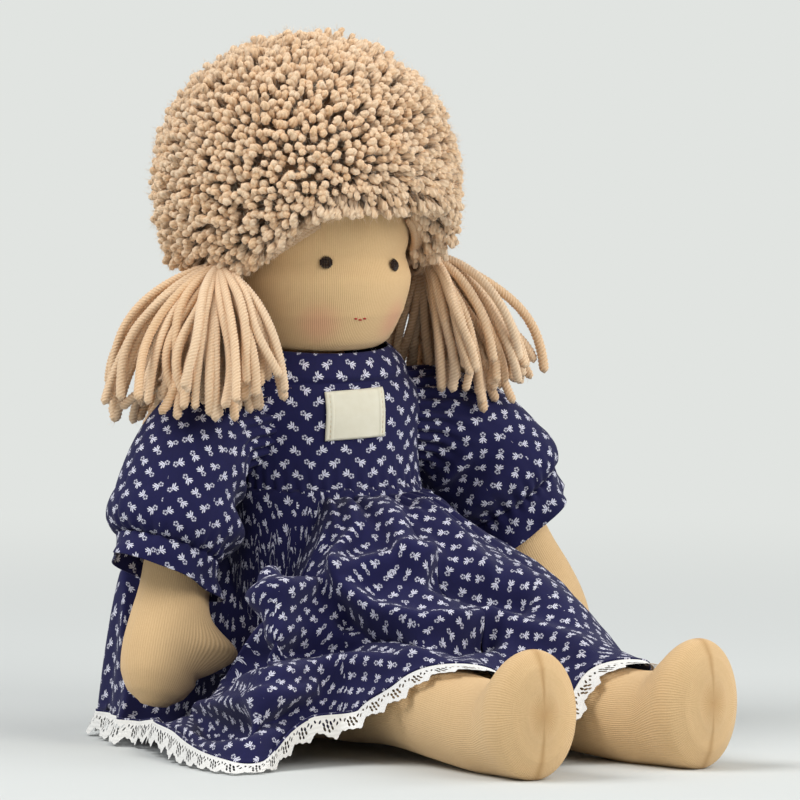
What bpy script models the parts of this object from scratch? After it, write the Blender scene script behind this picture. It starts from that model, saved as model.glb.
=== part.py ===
"""Seated rag doll in the waldorf style: a wool-stuffed jersey body in a cotton dress.

The doll sits on the plane z = 0 and looks along -Y. Its right side is at -X.
Metres, +Z up. The origin is the middle of the flat seat.
Cloth pieces are lofts of rings, turned pieces are profiles with a Screw modifier.
"""
import math

import bmesh
import bpy
import numpy as np
from mathutils import Matrix, Vector

# Fits shared by all pieces
GAP = 0.0004             # clearance between two pieces that touch on the real doll
RUNNING_GAP = 0.0006     # clearance where one piece turns against another
OVERRUN = 0.004          # how far a cutter passes the face that it cuts
JERSEY = 0.0009          # wall of the knitted skin
COTTON = 0.0013          # wall of the dress cloth with its hems
HANG_ROOM = 0.0025       # room between the skirt and an arm or sleeve that hangs over it
MERGE = 0.00001          # merge distance at a pole

# Body, measured upright from the floor
WAIST_Z = 0.100
SHOULDER_Z = 0.126       # height of the arm's turning centre
NECK_TOP_Z = 0.147       # mouth of the body skin
BODY_HALF_WIDTH = 0.042
BODY_HALF_DEPTH = 0.0285
SPINE_Y = 0.0            # depth of the body's middle, over the seat

# Neck and head
NECK_Y = 0.005
NECK_RADIUS = 0.014
NECK_DEPTH = 0.021       # how far the neck roll goes into the body
NOD_Z = 0.150            # height of the axis that the head nods about
THREAD_RADIUS = 0.0007
HEAD_HALF_WIDTH = 0.0388
HEAD_BOTTOM_Z = 0.1555
HEAD_TOP_Z = 0.2395
EYE_LINE_SHARE = 0.46    # height of the eye line as a share of the head
EYE_RADIUS = 0.0026
EYE_RISE = 0.0010
EYE_HALF_ANGLE = math.radians(25)
MOUTH_DROP = 0.0245      # mouth below the eye line
MOUTH_HALF_WIDTH = 0.0028
MOUTH_HALF_HEIGHT = 0.0006
MOUTH_HALF_DEPTH = 0.0009

# Hair
CAP_WALL = 0.0016
PILE_RADIUS = 0.0615
PILE_Y = 0.0098
PILE_Z = 0.2190
PILE_BOTTOM_Z = 0.1870
FRINGE_Z = 0.2080        # height of the fringe over the face
TIE_X = 0.0472
TIE_Y = 0.0005
TIE_Z = 0.1880
TIE_WIRE = 0.0013
STRAND_NECK_RADIUS = 0.0040
BUNCH_HALF_WIDTH = 0.030
BUNCH_HALF_DEPTH = 0.033
BUNCH_OUT = 0.028        # middle of the bunch's end outside the tie
BUNCH_DROP = 0.056       # end of the bunch below the tie
BUNCH_BACK_SHARE = 0.12  # how far it drifts back, over its drop
HAIR_CLEARANCE = 0.0012

# Arms
SHOULDER_OUT = 0.0155    # from the body's side to an arm's turning centre
SHOULDER_X = BODY_HALF_WIDTH + SHOULDER_OUT
SHOULDER_Y = 0.0
ARM_RADIUS = 0.0135
HAND_RADIUS = 0.0165
ARM_LENGTH = 0.1145      # from the turning centre to the finger tips
THUMB_REACH = 0.013      # how far the thumb stands out of the hand
GATHER_RADIUS = 0.0075
GATHER_DEPTH = 0.0035    # how far the gathered end goes into the body
RIGHT_ARM_ANGLE = math.radians(16)
RIGHT_HAND_ANGLE = math.radians(16)
RIGHT_SWING_ANGLE = math.radians(6)
LEFT_ARM_ANGLE = math.radians(38)
LEFT_HAND_ANGLE = math.radians(12)
LEFT_SWING_ANGLE = math.radians(14)

# Legs
HIP_X = 0.022
HIP_Y = -0.032
HIP_Z = 0.022
LEG_RADIUS = 0.020
FOOT_X = 0.041
FOOT_END_Y = -0.213
FOOT_HALF_HEIGHT = 0.0262

# Dress
ARMHOLE_RADIUS = 0.0172
SLEEVE_PUFF = 0.0265     # half width of the sleeve where it is fullest
SLEEVE_HANG = 0.006      # how far the sleeve hangs outside the arm's axis
CUFF_RADIUS = 0.0222
CUFF_LENGTH = 0.0125
COLLAR_HALF_WIDTH = 0.0300
COLLAR_HALF_DEPTH = 0.0262
COLLAR_Z = 0.1550
SKIRT_LENGTH = 0.160     # from the waist's middle to the hem, seen from above
SKIRT_WALL = 0.0018
SKIRT_FLOOR = 0.0006     # how high the hem lies over the floor
FOLD_HEIGHT = 0.005
LACE_WIDTH = 0.0085
LACE_WALL = 0.0012
PATCH_WIDTH = 0.0240
PATCH_HEIGHT = 0.0190
PATCH_WALL = 0.0006
PATCH_X = 0.0060
PATCH_Z = 0.1265
PLACKET_WIDTH = 0.0075
PLACKET_WALL = 0.0008
BUTTON_RADIUS = 0.0032
BUTTON_THICKNESS = 0.0014

# Outlines as shares, each read through a smooth curve.
# Body rows: height over the neck's mouth, front, back and half width, the depths as shares
# of BODY_HALF_DEPTH in front of and behind SPINE_Y.
BODY_SHARES = (
    (0.000, 0.38, 0.62, 0.70),
    (0.030, 0.40, 0.84, 0.83),
    (0.085, 0.38, 0.99, 0.93),
    (0.150, 0.38, 1.07, 0.98),
    (0.232, 0.52, 1.10, 1.00),
    (0.290, 0.84, 1.09, 1.00),
    (0.355, 1.18, 1.06, 1.00),
    (0.440, 1.30, 1.02, 0.99),
    (0.550, 1.24, 0.93, 0.97),
    (0.680, 1.12, 0.86, 0.95),
    (0.800, 1.02, 0.88, 0.96),
    (0.890, 0.94, 0.92, 0.99),
    (0.945, 0.84, 0.90, 0.93),
    (0.980, 0.64, 0.84, 0.78),
    (1.000, 0.46, 0.76, 0.52),
)
# Head rows: radius over HEAD_HALF_WIDTH, height over the head's own height.
HEAD_SHARES = (
    (0.380, 0.030),
    (0.560, 0.060),
    (0.790, 0.130),
    (0.930, 0.215),
    (1.000, 0.330),
    (0.976, 0.410),
    (0.958, 0.460),
    (0.985, 0.520),
    (1.000, 0.620),
    (0.955, 0.740),
    (0.800, 0.870),
    (0.520, 0.960),
    (0.000, 1.000),
)
# Arm rows past the turning centre: place over ARM_LENGTH, radius over HAND_RADIUS.
ARM_SHARES = (
    (0.00, 0.818),
    (0.20, 0.825),
    (0.42, 0.835),
    (0.58, 0.860),
    (0.70, 0.960),
    (0.80, 1.000),
    (0.89, 0.930),
    (0.955, 0.700),
    (0.990, 0.340),
)
THUMB_PLACE_SHARE = 0.775
THUMB_SPAN_SHARE = 0.075
# Leg rows past the hip: place over the leg's length, half width over LEG_RADIUS, half height
# over FOOT_HALF_HEIGHT, height of the axis over FOOT_HALF_HEIGHT. The calf and the heel reach
# a little under the floor, where they are pressed flat.
LEG_SHARES = (
    (0.00, 1.000, 0.784, 0.863),
    (0.16, 1.000, 0.790, 0.900),
    (0.36, 0.960, 0.770, 0.930),
    (0.56, 0.920, 0.730, 0.800),
    (0.74, 0.880, 0.710, 0.692),
    (0.835, 0.870, 0.740, 0.722),
    (0.885, 0.930, 0.880, 0.862),
    (0.930, 0.990, 0.985, 0.968),
    (0.965, 0.900, 0.960, 0.990),
    (0.988, 0.640, 0.720, 1.010),
)
# Sleeve rows: place along the bend, half height over SLEEVE_PUFF, half depth over SLEEVE_PUFF.
SLEEVE_SHARES = (
    (0.00, 0.65, 0.65),
    (0.18, 0.81, 0.76),
    (0.36, 0.90, 0.86),
    (0.54, 0.95, 0.92),
    (0.72, 0.99, 0.97),
    (0.88, 0.97, 0.97),
    (1.00, 0.84, 0.86),
)
SLEEVE_END_SHARE = 0.46  # where the sleeve ends and the cuff starts, over ARM_LENGTH
# Hem radius over SKIRT_LENGTH, every 15 degrees from +X round over +Y, -X and -Y.
HEM_SHARES = (
    0.62, 0.60, 0.57, 0.54, 0.51, 0.48, 0.46, 0.48, 0.51, 0.54, 0.56, 0.56,
    0.58, 0.66, 0.84, 1.02, 0.88, 0.95, 0.95, 1.02, 0.99, 0.92, 0.82, 0.70,
)
SKIRT_STEPS_SHARES = (0.0, 0.04, 0.10, 0.17, 0.25, 0.34, 0.44, 0.54, 0.64, 0.74, 0.84, 0.93, 1.0)
# Main folds: direction as a share of a full turn from +X, reach along the skirt, half width
# of the ridge as a share of a turn, and height over FOLD_HEIGHT.
FOLD_SHARES = (
    (0.675, 0.55, 0.020, 1.0),
    (0.620, 0.70, 0.022, 1.3),
    (0.570, 0.62, 0.018, 0.9),
    (0.730, 0.35, 0.016, 1.0),
    (0.805, 0.66, 0.026, 2.6),
    (0.850, 0.60, 0.022, 1.2),
    (0.910, 0.55, 0.018, 0.9),
    (0.980, 0.60, 0.020, 0.8),
    (0.060, 0.60, 0.022, 1.0),
    (0.140, 0.60, 0.020, 1.0),
    (0.220, 0.60, 0.022, 1.0),
    (0.300, 0.60, 0.022, 1.0),
    (0.380, 0.60, 0.022, 1.0),
    (0.450, 0.60, 0.020, 0.8),
)

# Facet counts
BODY_SIDES = 20
LIMB_SIDES = 12
HEAD_SIDES = 22
RING_SIDES = 6
SKIRT_SIDES = 48
HEAD_ROWS = 13

COLLECTION = "waldorf_doll"
SIDES = {"right": -1.0, "left": 1.0}


def clear_scene():
    for thing in list(bpy.data.objects):
        bpy.data.objects.remove(thing, do_unlink=True)


def make_collection(name):
    group = bpy.data.collections.get(name) or bpy.data.collections.new(name)
    if name not in bpy.context.scene.collection.children:
        bpy.context.scene.collection.children.link(group)
    return group


def make_material(name, colour, roughness):
    material = bpy.data.materials.new(name)
    material.use_nodes = True
    shader = material.node_tree.nodes["Principled BSDF"]
    shader.inputs["Base Color"].default_value = (*colour, 1.0)
    shader.inputs["Roughness"].default_value = roughness
    return material


def place(name, mesh, group, material=None):
    thing = bpy.data.objects.new(name, mesh)
    group.objects.link(thing)
    if material is not None:
        mesh.materials.clear()
        mesh.materials.append(material)
        mesh.shade_smooth()
    else:
        thing.hide_render = True
        thing.display_type = "WIRE"
    return thing


def set_origin(thing, point):
    """Moves an object's origin to a point in the world and keeps its mesh where it is."""
    thing.data.transform(Matrix.Translation(-Vector(point)))
    thing.location = point


def cut(thing, cutter):
    step = thing.modifiers.new("cut_" + cutter.name, "BOOLEAN")
    step.operation = "DIFFERENCE"
    step.object = cutter
    step.solver = "EXACT"


def join(thing, addition):
    step = thing.modifiers.new("join_" + addition.name, "BOOLEAN")
    step.operation = "UNION"
    step.object = addition
    step.solver = "EXACT"


def thicken(thing, wall, outward=False):
    step = thing.modifiers.new("wall", "SOLIDIFY")
    step.thickness = wall
    step.offset = 1.0 if outward else -1.0


def smooth_rows(rows, count):
    """Reads rows at evenly spread places through a Catmull-Rom curve, ends included."""
    rows = np.array(rows, dtype=float)
    padded = np.vstack([2 * rows[0] - rows[1], rows, 2 * rows[-1] - rows[-2]])
    at = np.linspace(0, len(rows) - 1, count)
    k = np.minimum(at.astype(int), len(rows) - 2)
    f = (at - k)[:, None]
    a, b, c, d = padded[k], padded[k + 1], padded[k + 2], padded[k + 3]
    return b + 0.5 * f * (c - a + f * (2 * a - 5 * b + 4 * c - d + f * (3 * (b - c) + d - a)))


def loft(name, rings, start=None, end=None):
    """A mesh through closed rings. An end is open, or drawn together at a given point."""
    rings = np.asarray(rings, dtype=float)
    count, sides = rings.shape[:2]
    verts = [tuple(p) for p in rings.reshape(-1, 3)]
    faces = []
    for i in range(count - 1):
        for j in range(sides):
            k = (j + 1) % sides
            faces.append((i * sides + j, i * sides + k, (i + 1) * sides + k, (i + 1) * sides + j))
    if start is not None:
        verts.append(tuple(start))
        faces += [(len(verts) - 1, (j + 1) % sides, j) for j in range(sides)]
    if end is not None:
        verts.append(tuple(end))
        last = (count - 1) * sides
        faces += [(len(verts) - 1, last + j, last + (j + 1) % sides) for j in range(sides)]
    if signed_volume(rings) < 0:
        faces = [tuple(reversed(face)) for face in faces]
    mesh = bpy.data.meshes.new(name)
    mesh.from_pydata(verts, [], faces)
    mesh.update()
    return mesh


def drawn_in(name, mesh, distance):
    """A copy of a closed mesh with each corner moved inwards along its normal."""
    copy = mesh.copy()
    copy.name = name
    normals = [corner.normal.copy() for corner in mesh.vertices]
    for corner, normal in zip(copy.vertices, normals):
        corner.co -= normal * distance
    copy.update()
    return copy


def make_stuffed(name, stuffing_name, rings, top, tip, parts, materials):
    """A jersey skin, open where it is filled, and the wool inside it."""
    skin = place(name, loft(name, rings, end=tip), parts, materials["jersey"])
    thicken(skin, JERSEY)
    whole = loft(stuffing_name, rings, top, tip)
    stuffing = place(
        stuffing_name, drawn_in(stuffing_name, whole, JERSEY + 2 * GAP), parts, materials["wool"]
    )
    bpy.data.meshes.remove(whole)
    return skin, stuffing


def signed_volume(rings):
    """Six times the volume between the rings, ends closed by fans. Negative when inside out."""
    total = 0.0
    middle = rings.reshape(-1, 3).mean(axis=0)
    rings = rings - middle
    for low, high in zip(rings[:-1], rings[1:]):
        a, b = low, np.roll(low, -1, axis=0)
        c, d = np.roll(high, -1, axis=0), high
        total += np.einsum("ij,ij->", a, np.cross(b, c)) + np.einsum("ij,ij->", a, np.cross(c, d))
    for ring, sign in ((rings[0], -1), (rings[-1], 1)):
        hub = np.broadcast_to(ring.mean(axis=0), ring.shape)
        total += sign * np.einsum("ij,ij->", hub, np.cross(ring, np.roll(ring, -1, axis=0)))
    return total


def ellipse(middle, first, second, sides):
    """A ring of points round a middle, with two half axes as vectors."""
    turn = np.linspace(0, 2 * math.pi, sides, endpoint=False)[:, None]
    return np.asarray(middle) + np.cos(turn) * np.asarray(first) + np.sin(turn) * np.asarray(second)


def turned(name, profile, sides, group, material=None):
    """Turns a profile of (radius, height) pairs, listed top to bottom, about the object's Z."""
    mesh = bpy.data.meshes.new(name)
    mesh.from_pydata([(r, 0.0, z) for r, z in profile], [(i, i + 1) for i in range(len(profile) - 1)], [])
    thing = place(name, mesh, group, material)
    screw = thing.modifiers.new("turn", "SCREW")
    screw.steps = sides
    screw.render_steps = sides
    screw.use_merge_vertices = True
    screw.merge_threshold = MERGE
    return thing


def ball(name, radius, middle, group, material=None, sides=24, rows=12, scale=(1, 1, 1)):
    mesh = bpy.data.meshes.new(name)
    build = bmesh.new()
    bmesh.ops.create_uvsphere(build, u_segments=sides, v_segments=rows, radius=radius)
    bmesh.ops.scale(build, vec=scale, verts=build.verts)
    build.to_mesh(mesh)
    build.free()
    thing = place(name, mesh, group, material)
    thing.location = middle
    return thing


def box(name, low, high, group, material=None):
    mesh = bpy.data.meshes.new(name)
    build = bmesh.new()
    bmesh.ops.create_cube(build, size=1.0)
    size = Vector(high) - Vector(low)
    bmesh.ops.scale(build, vec=size, verts=build.verts)
    build.to_mesh(mesh)
    build.free()
    thing = place(name, mesh, group, material)
    thing.location = (Vector(low) + Vector(high)) / 2
    return thing


def rod(name, radius, start, end, group, sides=24):
    """A cutter: a cylinder between two points."""
    axis = Vector(end) - Vector(start)
    mesh = bpy.data.meshes.new(name)
    build = bmesh.new()
    bmesh.ops.create_cone(
        build, cap_ends=True, segments=sides, radius1=radius, radius2=radius, depth=axis.length
    )
    build.to_mesh(mesh)
    build.free()
    thing = place(name, mesh, group)
    thing.rotation_euler = axis.to_track_quat("Z", "Y").to_euler()
    thing.location = (Vector(start) + Vector(end)) / 2
    return thing


def loop_ring(name, radius, wire, middle, axis, sides, group, material=None):
    """A thread or band closed on itself: a torus about an axis through its middle."""
    turn = np.linspace(0, 2 * math.pi, sides, endpoint=False)
    frame = Vector(axis).to_track_quat("Z", "Y").to_matrix()
    rings = []
    for angle in np.append(turn, 0.0):
        out = np.array([math.cos(angle), math.sin(angle), 0.0])
        rings.append(ellipse(out * radius, out * wire, (0, 0, wire), RING_SIDES))
    mesh = loft(name, rings)
    build = bmesh.new()
    build.from_mesh(mesh)
    bmesh.ops.remove_doubles(build, verts=build.verts, dist=MERGE)
    bmesh.ops.recalc_face_normals(build, faces=build.faces)
    build.to_mesh(mesh)
    build.free()
    mesh.transform(frame.to_4x4())
    thing = place(name, mesh, group, material)
    thing.location = middle
    return thing


# Body

def body_ring(row, grow=0.0, sides=BODY_SIDES):
    """One level ring of the body from a row of BODY_SHARES, grown sideways by a distance."""
    height, front, back, width = row
    low = SPINE_Y - front * BODY_HALF_DEPTH - grow
    high = SPINE_Y + back * BODY_HALF_DEPTH + grow
    middle = (0.0, (low + high) / 2, height * NECK_TOP_Z)
    return ellipse(middle, (width * BODY_HALF_WIDTH + grow, 0, 0), (0, (high - low) / 2, 0), sides)


def body_rows(low=0.0, high=1.0):
    return [row for row in BODY_SHARES if low <= row[0] <= high]


def row_at(height):
    """The body's row at any height, read straight between the listed rows."""
    rows = np.array(BODY_SHARES)
    share = height / NECK_TOP_Z
    return tuple(np.interp(share, rows[:, 0], rows[:, k]) for k in range(4))


def neck_pocket(group):
    bottom = NECK_TOP_Z - NECK_DEPTH - RUNNING_GAP
    return rod(
        "neck_pocket", NECK_RADIUS + RUNNING_GAP, (0, NECK_Y, bottom), (0, NECK_Y, HEAD_TOP_Z), group
    )


def gather_pocket(side, group):
    """The blind hole in the body's side that takes the gathered end of an arm."""
    sign = SIDES[side]
    floor = gather_inner_x() - RUNNING_GAP
    return rod(
        "gather_pocket_" + side, GATHER_RADIUS + RUNNING_GAP,
        (sign * floor, SHOULDER_Y, SHOULDER_Z), (sign * (SHOULDER_X + ARM_LENGTH), SHOULDER_Y, SHOULDER_Z),
        group,
    )


def gather_inner_x():
    return BODY_HALF_WIDTH * row_at(SHOULDER_Z)[3] - GATHER_DEPTH


def make_body(parts, cutters, materials):
    """The body skin, open at the neck, and its wool with a pocket for the neck roll."""
    rings = [body_ring(row) for row in body_rows()][::-1]
    crown = (0, NECK_Y, NECK_TOP_Z)
    skin, stuffing = make_stuffed(
        "body_skin", "body_stuffing", rings, crown, (0, SPINE_Y, 0), parts, materials
    )
    cut(stuffing, neck_pocket(cutters))
    for side in SIDES:
        pocket = gather_pocket(side, cutters)
        cut(skin, pocket)
        cut(stuffing, pocket)


# Head and neck

def head_profile(inset=0.0):
    """Radius and height pairs from the crown down, moved inwards by an inset."""
    rows = smooth_rows(HEAD_SHARES, HEAD_ROWS)[::-1]
    height = HEAD_TOP_Z - HEAD_BOTTOM_Z
    points = np.column_stack([rows[:, 0] * HEAD_HALF_WIDTH, HEAD_BOTTOM_Z + rows[:, 1] * height])
    points[0, 0] = 0.0
    if inset:
        slope = np.gradient(points, axis=0)
        slope /= np.linalg.norm(slope, axis=1)[:, None]
        points = points + inset * np.column_stack([slope[:, 1], -slope[:, 0]])
        points[0] = (0.0, HEAD_TOP_Z - inset)
    return points


def head_radius(z):
    points = head_profile()[::-1]
    return float(np.interp(z, points[:, 1], points[:, 0]))


def eye_line_z():
    return HEAD_BOTTOM_Z + EYE_LINE_SHARE * (HEAD_TOP_Z - HEAD_BOTTOM_Z)


def on_face(angle, z, rise=0.0):
    """A point on the head's skin, by its angle from straight ahead and its height."""
    radius = head_radius(z) + rise
    return (radius * math.sin(angle), NECK_Y - radius * math.cos(angle), z)


def make_head(parts, cutters, materials):
    pivot = (0, NECK_Y, NOD_Z)
    skin = turned("head_skin", head_profile(), HEAD_SIDES, parts, materials["jersey"])
    skin.location = (0, NECK_Y, 0)
    thicken(skin, JERSEY)
    inset = JERSEY + GAP
    profile = head_profile(inset)
    profile = np.vstack([profile, (0.0, profile[-1, 1])])
    wool = turned("inner_head", profile, HEAD_SIDES, parts, materials["wool"])
    wool.location = (0, NECK_Y, 0)
    socket = ball("nod_socket", NECK_RADIUS + RUNNING_GAP, pivot, cutters, sides=20, rows=10)
    cut(wool, socket)
    cut(skin, socket)
    groove = head_radius(eye_line_z()) - inset
    level = (0, NECK_Y, eye_line_z())
    dent = loop_ring(
        "eye_thread_groove", groove - THREAD_RADIUS, THREAD_RADIUS + GAP, level, (0, 0, 1),
        HEAD_SIDES, cutters,
    )
    cut(wool, dent)
    loop_ring(
        "eye_line_thread", groove - THREAD_RADIUS, THREAD_RADIUS, level, (0, 0, 1),
        HEAD_SIDES, parts, materials["thread"],
    )
    for side, sign in SIDES.items():
        angle = sign * EYE_HALF_ANGLE
        eye = ball(
            "eye_" + side, EYE_RADIUS, on_face(angle, eye_line_z(), GAP + EYE_RISE), parts,
            materials["eye"], sides=12, rows=6, scale=(1, EYE_RISE / EYE_RADIUS, 1),
        )
        eye.rotation_euler = (0, 0, angle)
    ball(
        "mouth", MOUTH_HALF_WIDTH, on_face(0.0, eye_line_z() - MOUTH_DROP, GAP + MOUTH_HALF_DEPTH), parts,
        materials["mouth"], sides=10, rows=6,
        scale=(1, MOUTH_HALF_DEPTH / MOUTH_HALF_WIDTH, MOUTH_HALF_HEIGHT / MOUTH_HALF_WIDTH),
    )


def make_neck(parts, materials):
    """The wool roll under the head, with a round top that the head nods on."""
    arc = [
        (NECK_RADIUS * math.sin(turn), NOD_Z + NECK_RADIUS * math.cos(turn))
        for turn in np.linspace(0, math.pi / 2, 7)
    ]
    thread_z = NECK_TOP_Z + THREAD_RADIUS + GAP
    waist = NECK_RADIUS - 2 * THREAD_RADIUS
    half = THREAD_RADIUS + GAP
    profile = arc + [
        (NECK_RADIUS, thread_z + half),
        (waist - GAP, thread_z + half),
        (waist - GAP, thread_z - half),
        (NECK_RADIUS, thread_z - half),
        (NECK_RADIUS, NECK_TOP_Z - NECK_DEPTH),
        (0.0, NECK_TOP_Z - NECK_DEPTH),
    ]
    roll = turned("neck_roll", profile, HEAD_SIDES, parts, materials["jersey"])
    roll.location = (0, NECK_Y, 0)
    loop_ring(
        "neck_thread", waist + THREAD_RADIUS, THREAD_RADIUS, (0, NECK_Y, thread_z), (0, 0, 1),
        HEAD_SIDES, parts, materials["thread"],
    )


# Hair

def grown_head(name, grow, group):
    """A cutter of the head's form, grown by a distance."""
    profile = head_profile(-grow)
    profile = np.vstack([profile, (0.0, profile[-1, 1])])
    cutter = turned(name, profile, HEAD_SIDES, group)
    cutter.location = (0, NECK_Y, 0)
    return cutter


def gather_path(sign):
    """The way of the taut strands over the temple, from under the fringe to the tie."""
    stand = CAP_WALL + 2 * GAP + STRAND_NECK_RADIUS / 4
    rows = []
    for share in np.linspace(0, 1, 6):
        z = FRINGE_Z + (TIE_Z - FRINGE_Z) * share
        angle = sign * math.radians(40 + 44 * share)
        rows.append(on_face(angle, z, stand))
    return np.array(rows)


def tube_rings(path, radii, sides):
    """Round rings across a path, with the radius of each."""
    along = np.gradient(path, axis=0)
    along /= np.linalg.norm(along, axis=1)[:, None]
    rings = []
    for point, axis, radius in zip(path, along, radii):
        first = np.cross(axis, (0, 0, 1))
        first /= np.linalg.norm(first)
        rings.append(ellipse(point, first * radius, np.cross(axis, first) * radius, sides))
    return rings


def bunch_rings(sign, grow=0.0):
    """The hair bunch as rings on a line that leaves the tie level and turns down."""
    rings = []
    for share in (0.0, 0.07, 0.16, 0.30, 0.48, 0.68, 0.86, 1.0):
        turn = share * math.radians(82)
        spread = math.sin(share * math.pi / 2) ** 0.75
        out = TIE_X + TIE_WIRE + GAP + BUNCH_OUT * math.sin(share * math.pi / 2)
        drop = BUNCH_DROP * share ** 1.7
        middle = (sign * out, TIE_Y + BUNCH_BACK_SHARE * drop, TIE_Z - drop)
        wide = STRAND_NECK_RADIUS + (BUNCH_HALF_WIDTH - STRAND_NECK_RADIUS) * spread + grow
        deep = STRAND_NECK_RADIUS + (BUNCH_HALF_DEPTH - STRAND_NECK_RADIUS) * spread + grow
        up = (sign * math.sin(turn) * wide, 0, math.cos(turn) * wide)
        rings.append(ellipse(middle, up, (0, deep, 0), 16))
    return rings


def make_hair(parts, cutters, materials, sleeve_cutters):
    on_cap = grown_head("over_cap", CAP_WALL + 2 * GAP, cutters)
    cap = turned("hair_cap", head_profile(-CAP_WALL - GAP), HEAD_SIDES, parts, materials["hair"])
    cap.location = (0, NECK_Y, 0)
    thicken(cap, CAP_WALL)
    pile = ball(
        "hair_pile", PILE_RADIUS, (0, PILE_Y, PILE_Z), parts, materials["hair"], sides=28, rows=14
    )
    face = (HEAD_BOTTOM_Z + FRINGE_Z) / 2
    window = ball(
        "face_window", HEAD_HALF_WIDTH, (0, NECK_Y - HEAD_HALF_WIDTH, face), cutters, sides=20, rows=10,
        scale=(1.0, 1.4, (FRINGE_Z - HEAD_BOTTOM_Z) / 2 / HEAD_HALF_WIDTH * 1.05),
    )
    below = box(
        "below_pile", (-PILE_RADIUS - OVERRUN, PILE_Y - PILE_RADIUS - OVERRUN, HEAD_BOTTOM_Z - OVERRUN),
        (PILE_RADIUS + OVERRUN, PILE_Y + PILE_RADIUS + OVERRUN, PILE_BOTTOM_Z), cutters,
    )
    nape_z = (HEAD_BOTTOM_Z + PILE_BOTTOM_Z) / 2
    nape = box(
        "below_cap", (-PILE_RADIUS, NECK_Y - PILE_RADIUS, HEAD_BOTTOM_Z - 2 * OVERRUN),
        (PILE_RADIUS, NECK_Y + PILE_RADIUS, nape_z), cutters,
    )
    cut(cap, nape)
    cut(cap, window)
    for cutter in (on_cap, below, window):
        cut(pile, cutter)
    for side, sign in SIDES.items():
        path = gather_path(sign)
        radii = np.array((0.55, 0.75, 0.90, 1.0, 1.0, 0.95)) * STRAND_NECK_RADIUS
        gathered = place(
            "hair_gather_" + side,
            loft("hair_gather_" + side, tube_rings(path, radii, 8), path[0], path[-1]), parts,
            materials["hair"],
        )
        start = (sign * (abs(path[-1][0]) - STRAND_NECK_RADIUS), TIE_Y, TIE_Z)
        end = (sign * (TIE_X + TIE_WIRE), TIE_Y, TIE_Z)
        join(gathered, rod("tie_root_" + side, STRAND_NECK_RADIUS, start, end, cutters, sides=12))
        cut(gathered, on_cap)
        cut(pile, place(
            "gather_room_" + side,
            loft("gather_room_" + side, tube_rings(path, radii + GAP, 8), path[0], path[-1]), cutters,
        ))
        inner = STRAND_NECK_RADIUS + GAP
        loop_ring(
            "hair_tie_" + side, inner + TIE_WIRE, TIE_WIRE, (sign * TIE_X, TIE_Y, TIE_Z), (1, 0, 0),
            16, parts, materials["tie"],
        )
        rings = bunch_rings(sign)
        root = rings[0].mean(axis=0) - (sign * GAP / 2, 0, 0)
        tip = rings[-1].mean(axis=0)
        hollow = (tip[0], tip[1], tip[2] + BUNCH_DROP / 4)
        bunch = place(
            "hair_bunch_" + side, loft("hair_bunch_" + side, rings, root, hollow), parts,
            materials["hair"],
        )
        cut(bunch, sleeve_cutters[side])
        cut(bunch, on_cap)
        cut(bunch, bpy.data.objects["over_bodice"])
        cut(pile, place(
            "bunch_room_" + side,
            loft("bunch_room_" + side, bunch_rings(sign, 2 * GAP), root, hollow), cutters,
        ))
        cut(pile, rod(
            "tie_room_" + side, inner + 2 * TIE_WIRE + GAP,
            start, (sign * (PILE_RADIUS + OVERRUN), TIE_Y, TIE_Z),
            cutters, sides=20,
        ))


# Arms

ARM_POSES = {
    "right": (RIGHT_ARM_ANGLE, RIGHT_HAND_ANGLE, RIGHT_SWING_ANGLE),
    "left": (LEFT_ARM_ANGLE, LEFT_HAND_ANGLE, LEFT_SWING_ANGLE),
}


def arm_line(side, share):
    """The arm's axis and its direction at a share of its length, as (outward, downward)."""
    spread, end_spread, _ = ARM_POSES[side]
    share = max(share, 0.0)
    steps = np.linspace(0, share, 9)
    angle = spread + (end_spread - spread) * steps
    half = (steps[1:] + steps[:-1]) / 2
    middle = spread + (end_spread - spread) * half
    step = np.diff(steps) * ARM_LENGTH
    point = np.array([(np.sin(middle) * step).sum(), (np.cos(middle) * step).sum()])
    return point, np.array([math.sin(angle[-1]), math.cos(angle[-1])])


def arm_point(side, flat):
    """A point given as (outward, downward, forward) from the shoulder, in the world."""
    sign = SIDES[side]
    swing = ARM_POSES[side][2]
    out, down, ahead = flat
    y = SHOULDER_Y - down * math.sin(swing) - ahead * math.cos(swing)
    z = SHOULDER_Z - down * math.cos(swing) + ahead * math.sin(swing)
    return (sign * (SHOULDER_X + out), y, z)


def arm_ring(side, share, radius, sides=LIMB_SIDES):
    """A ring across the arm. The thumb is a swelling on its inner front side."""
    point, axis = arm_line(side, share)
    across = np.array([axis[1], -axis[0]])
    turn = np.linspace(0, 2 * math.pi, sides, endpoint=False)
    toward = math.radians(-140)
    away = np.abs((turn - toward + math.pi) % (2 * math.pi) - math.pi)
    swell = np.exp(-(((share - THUMB_PLACE_SHARE) / THUMB_SPAN_SHARE) ** 2))
    reach = radius + THUMB_REACH * swell * np.exp(-((away / math.radians(34)) ** 2))
    ring = []
    for angle, length in zip(turn, reach):
        flat = point + across * math.cos(angle) * length
        ring.append(arm_point(side, (flat[0], flat[1], -math.sin(angle) * length)))
    return ring


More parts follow.
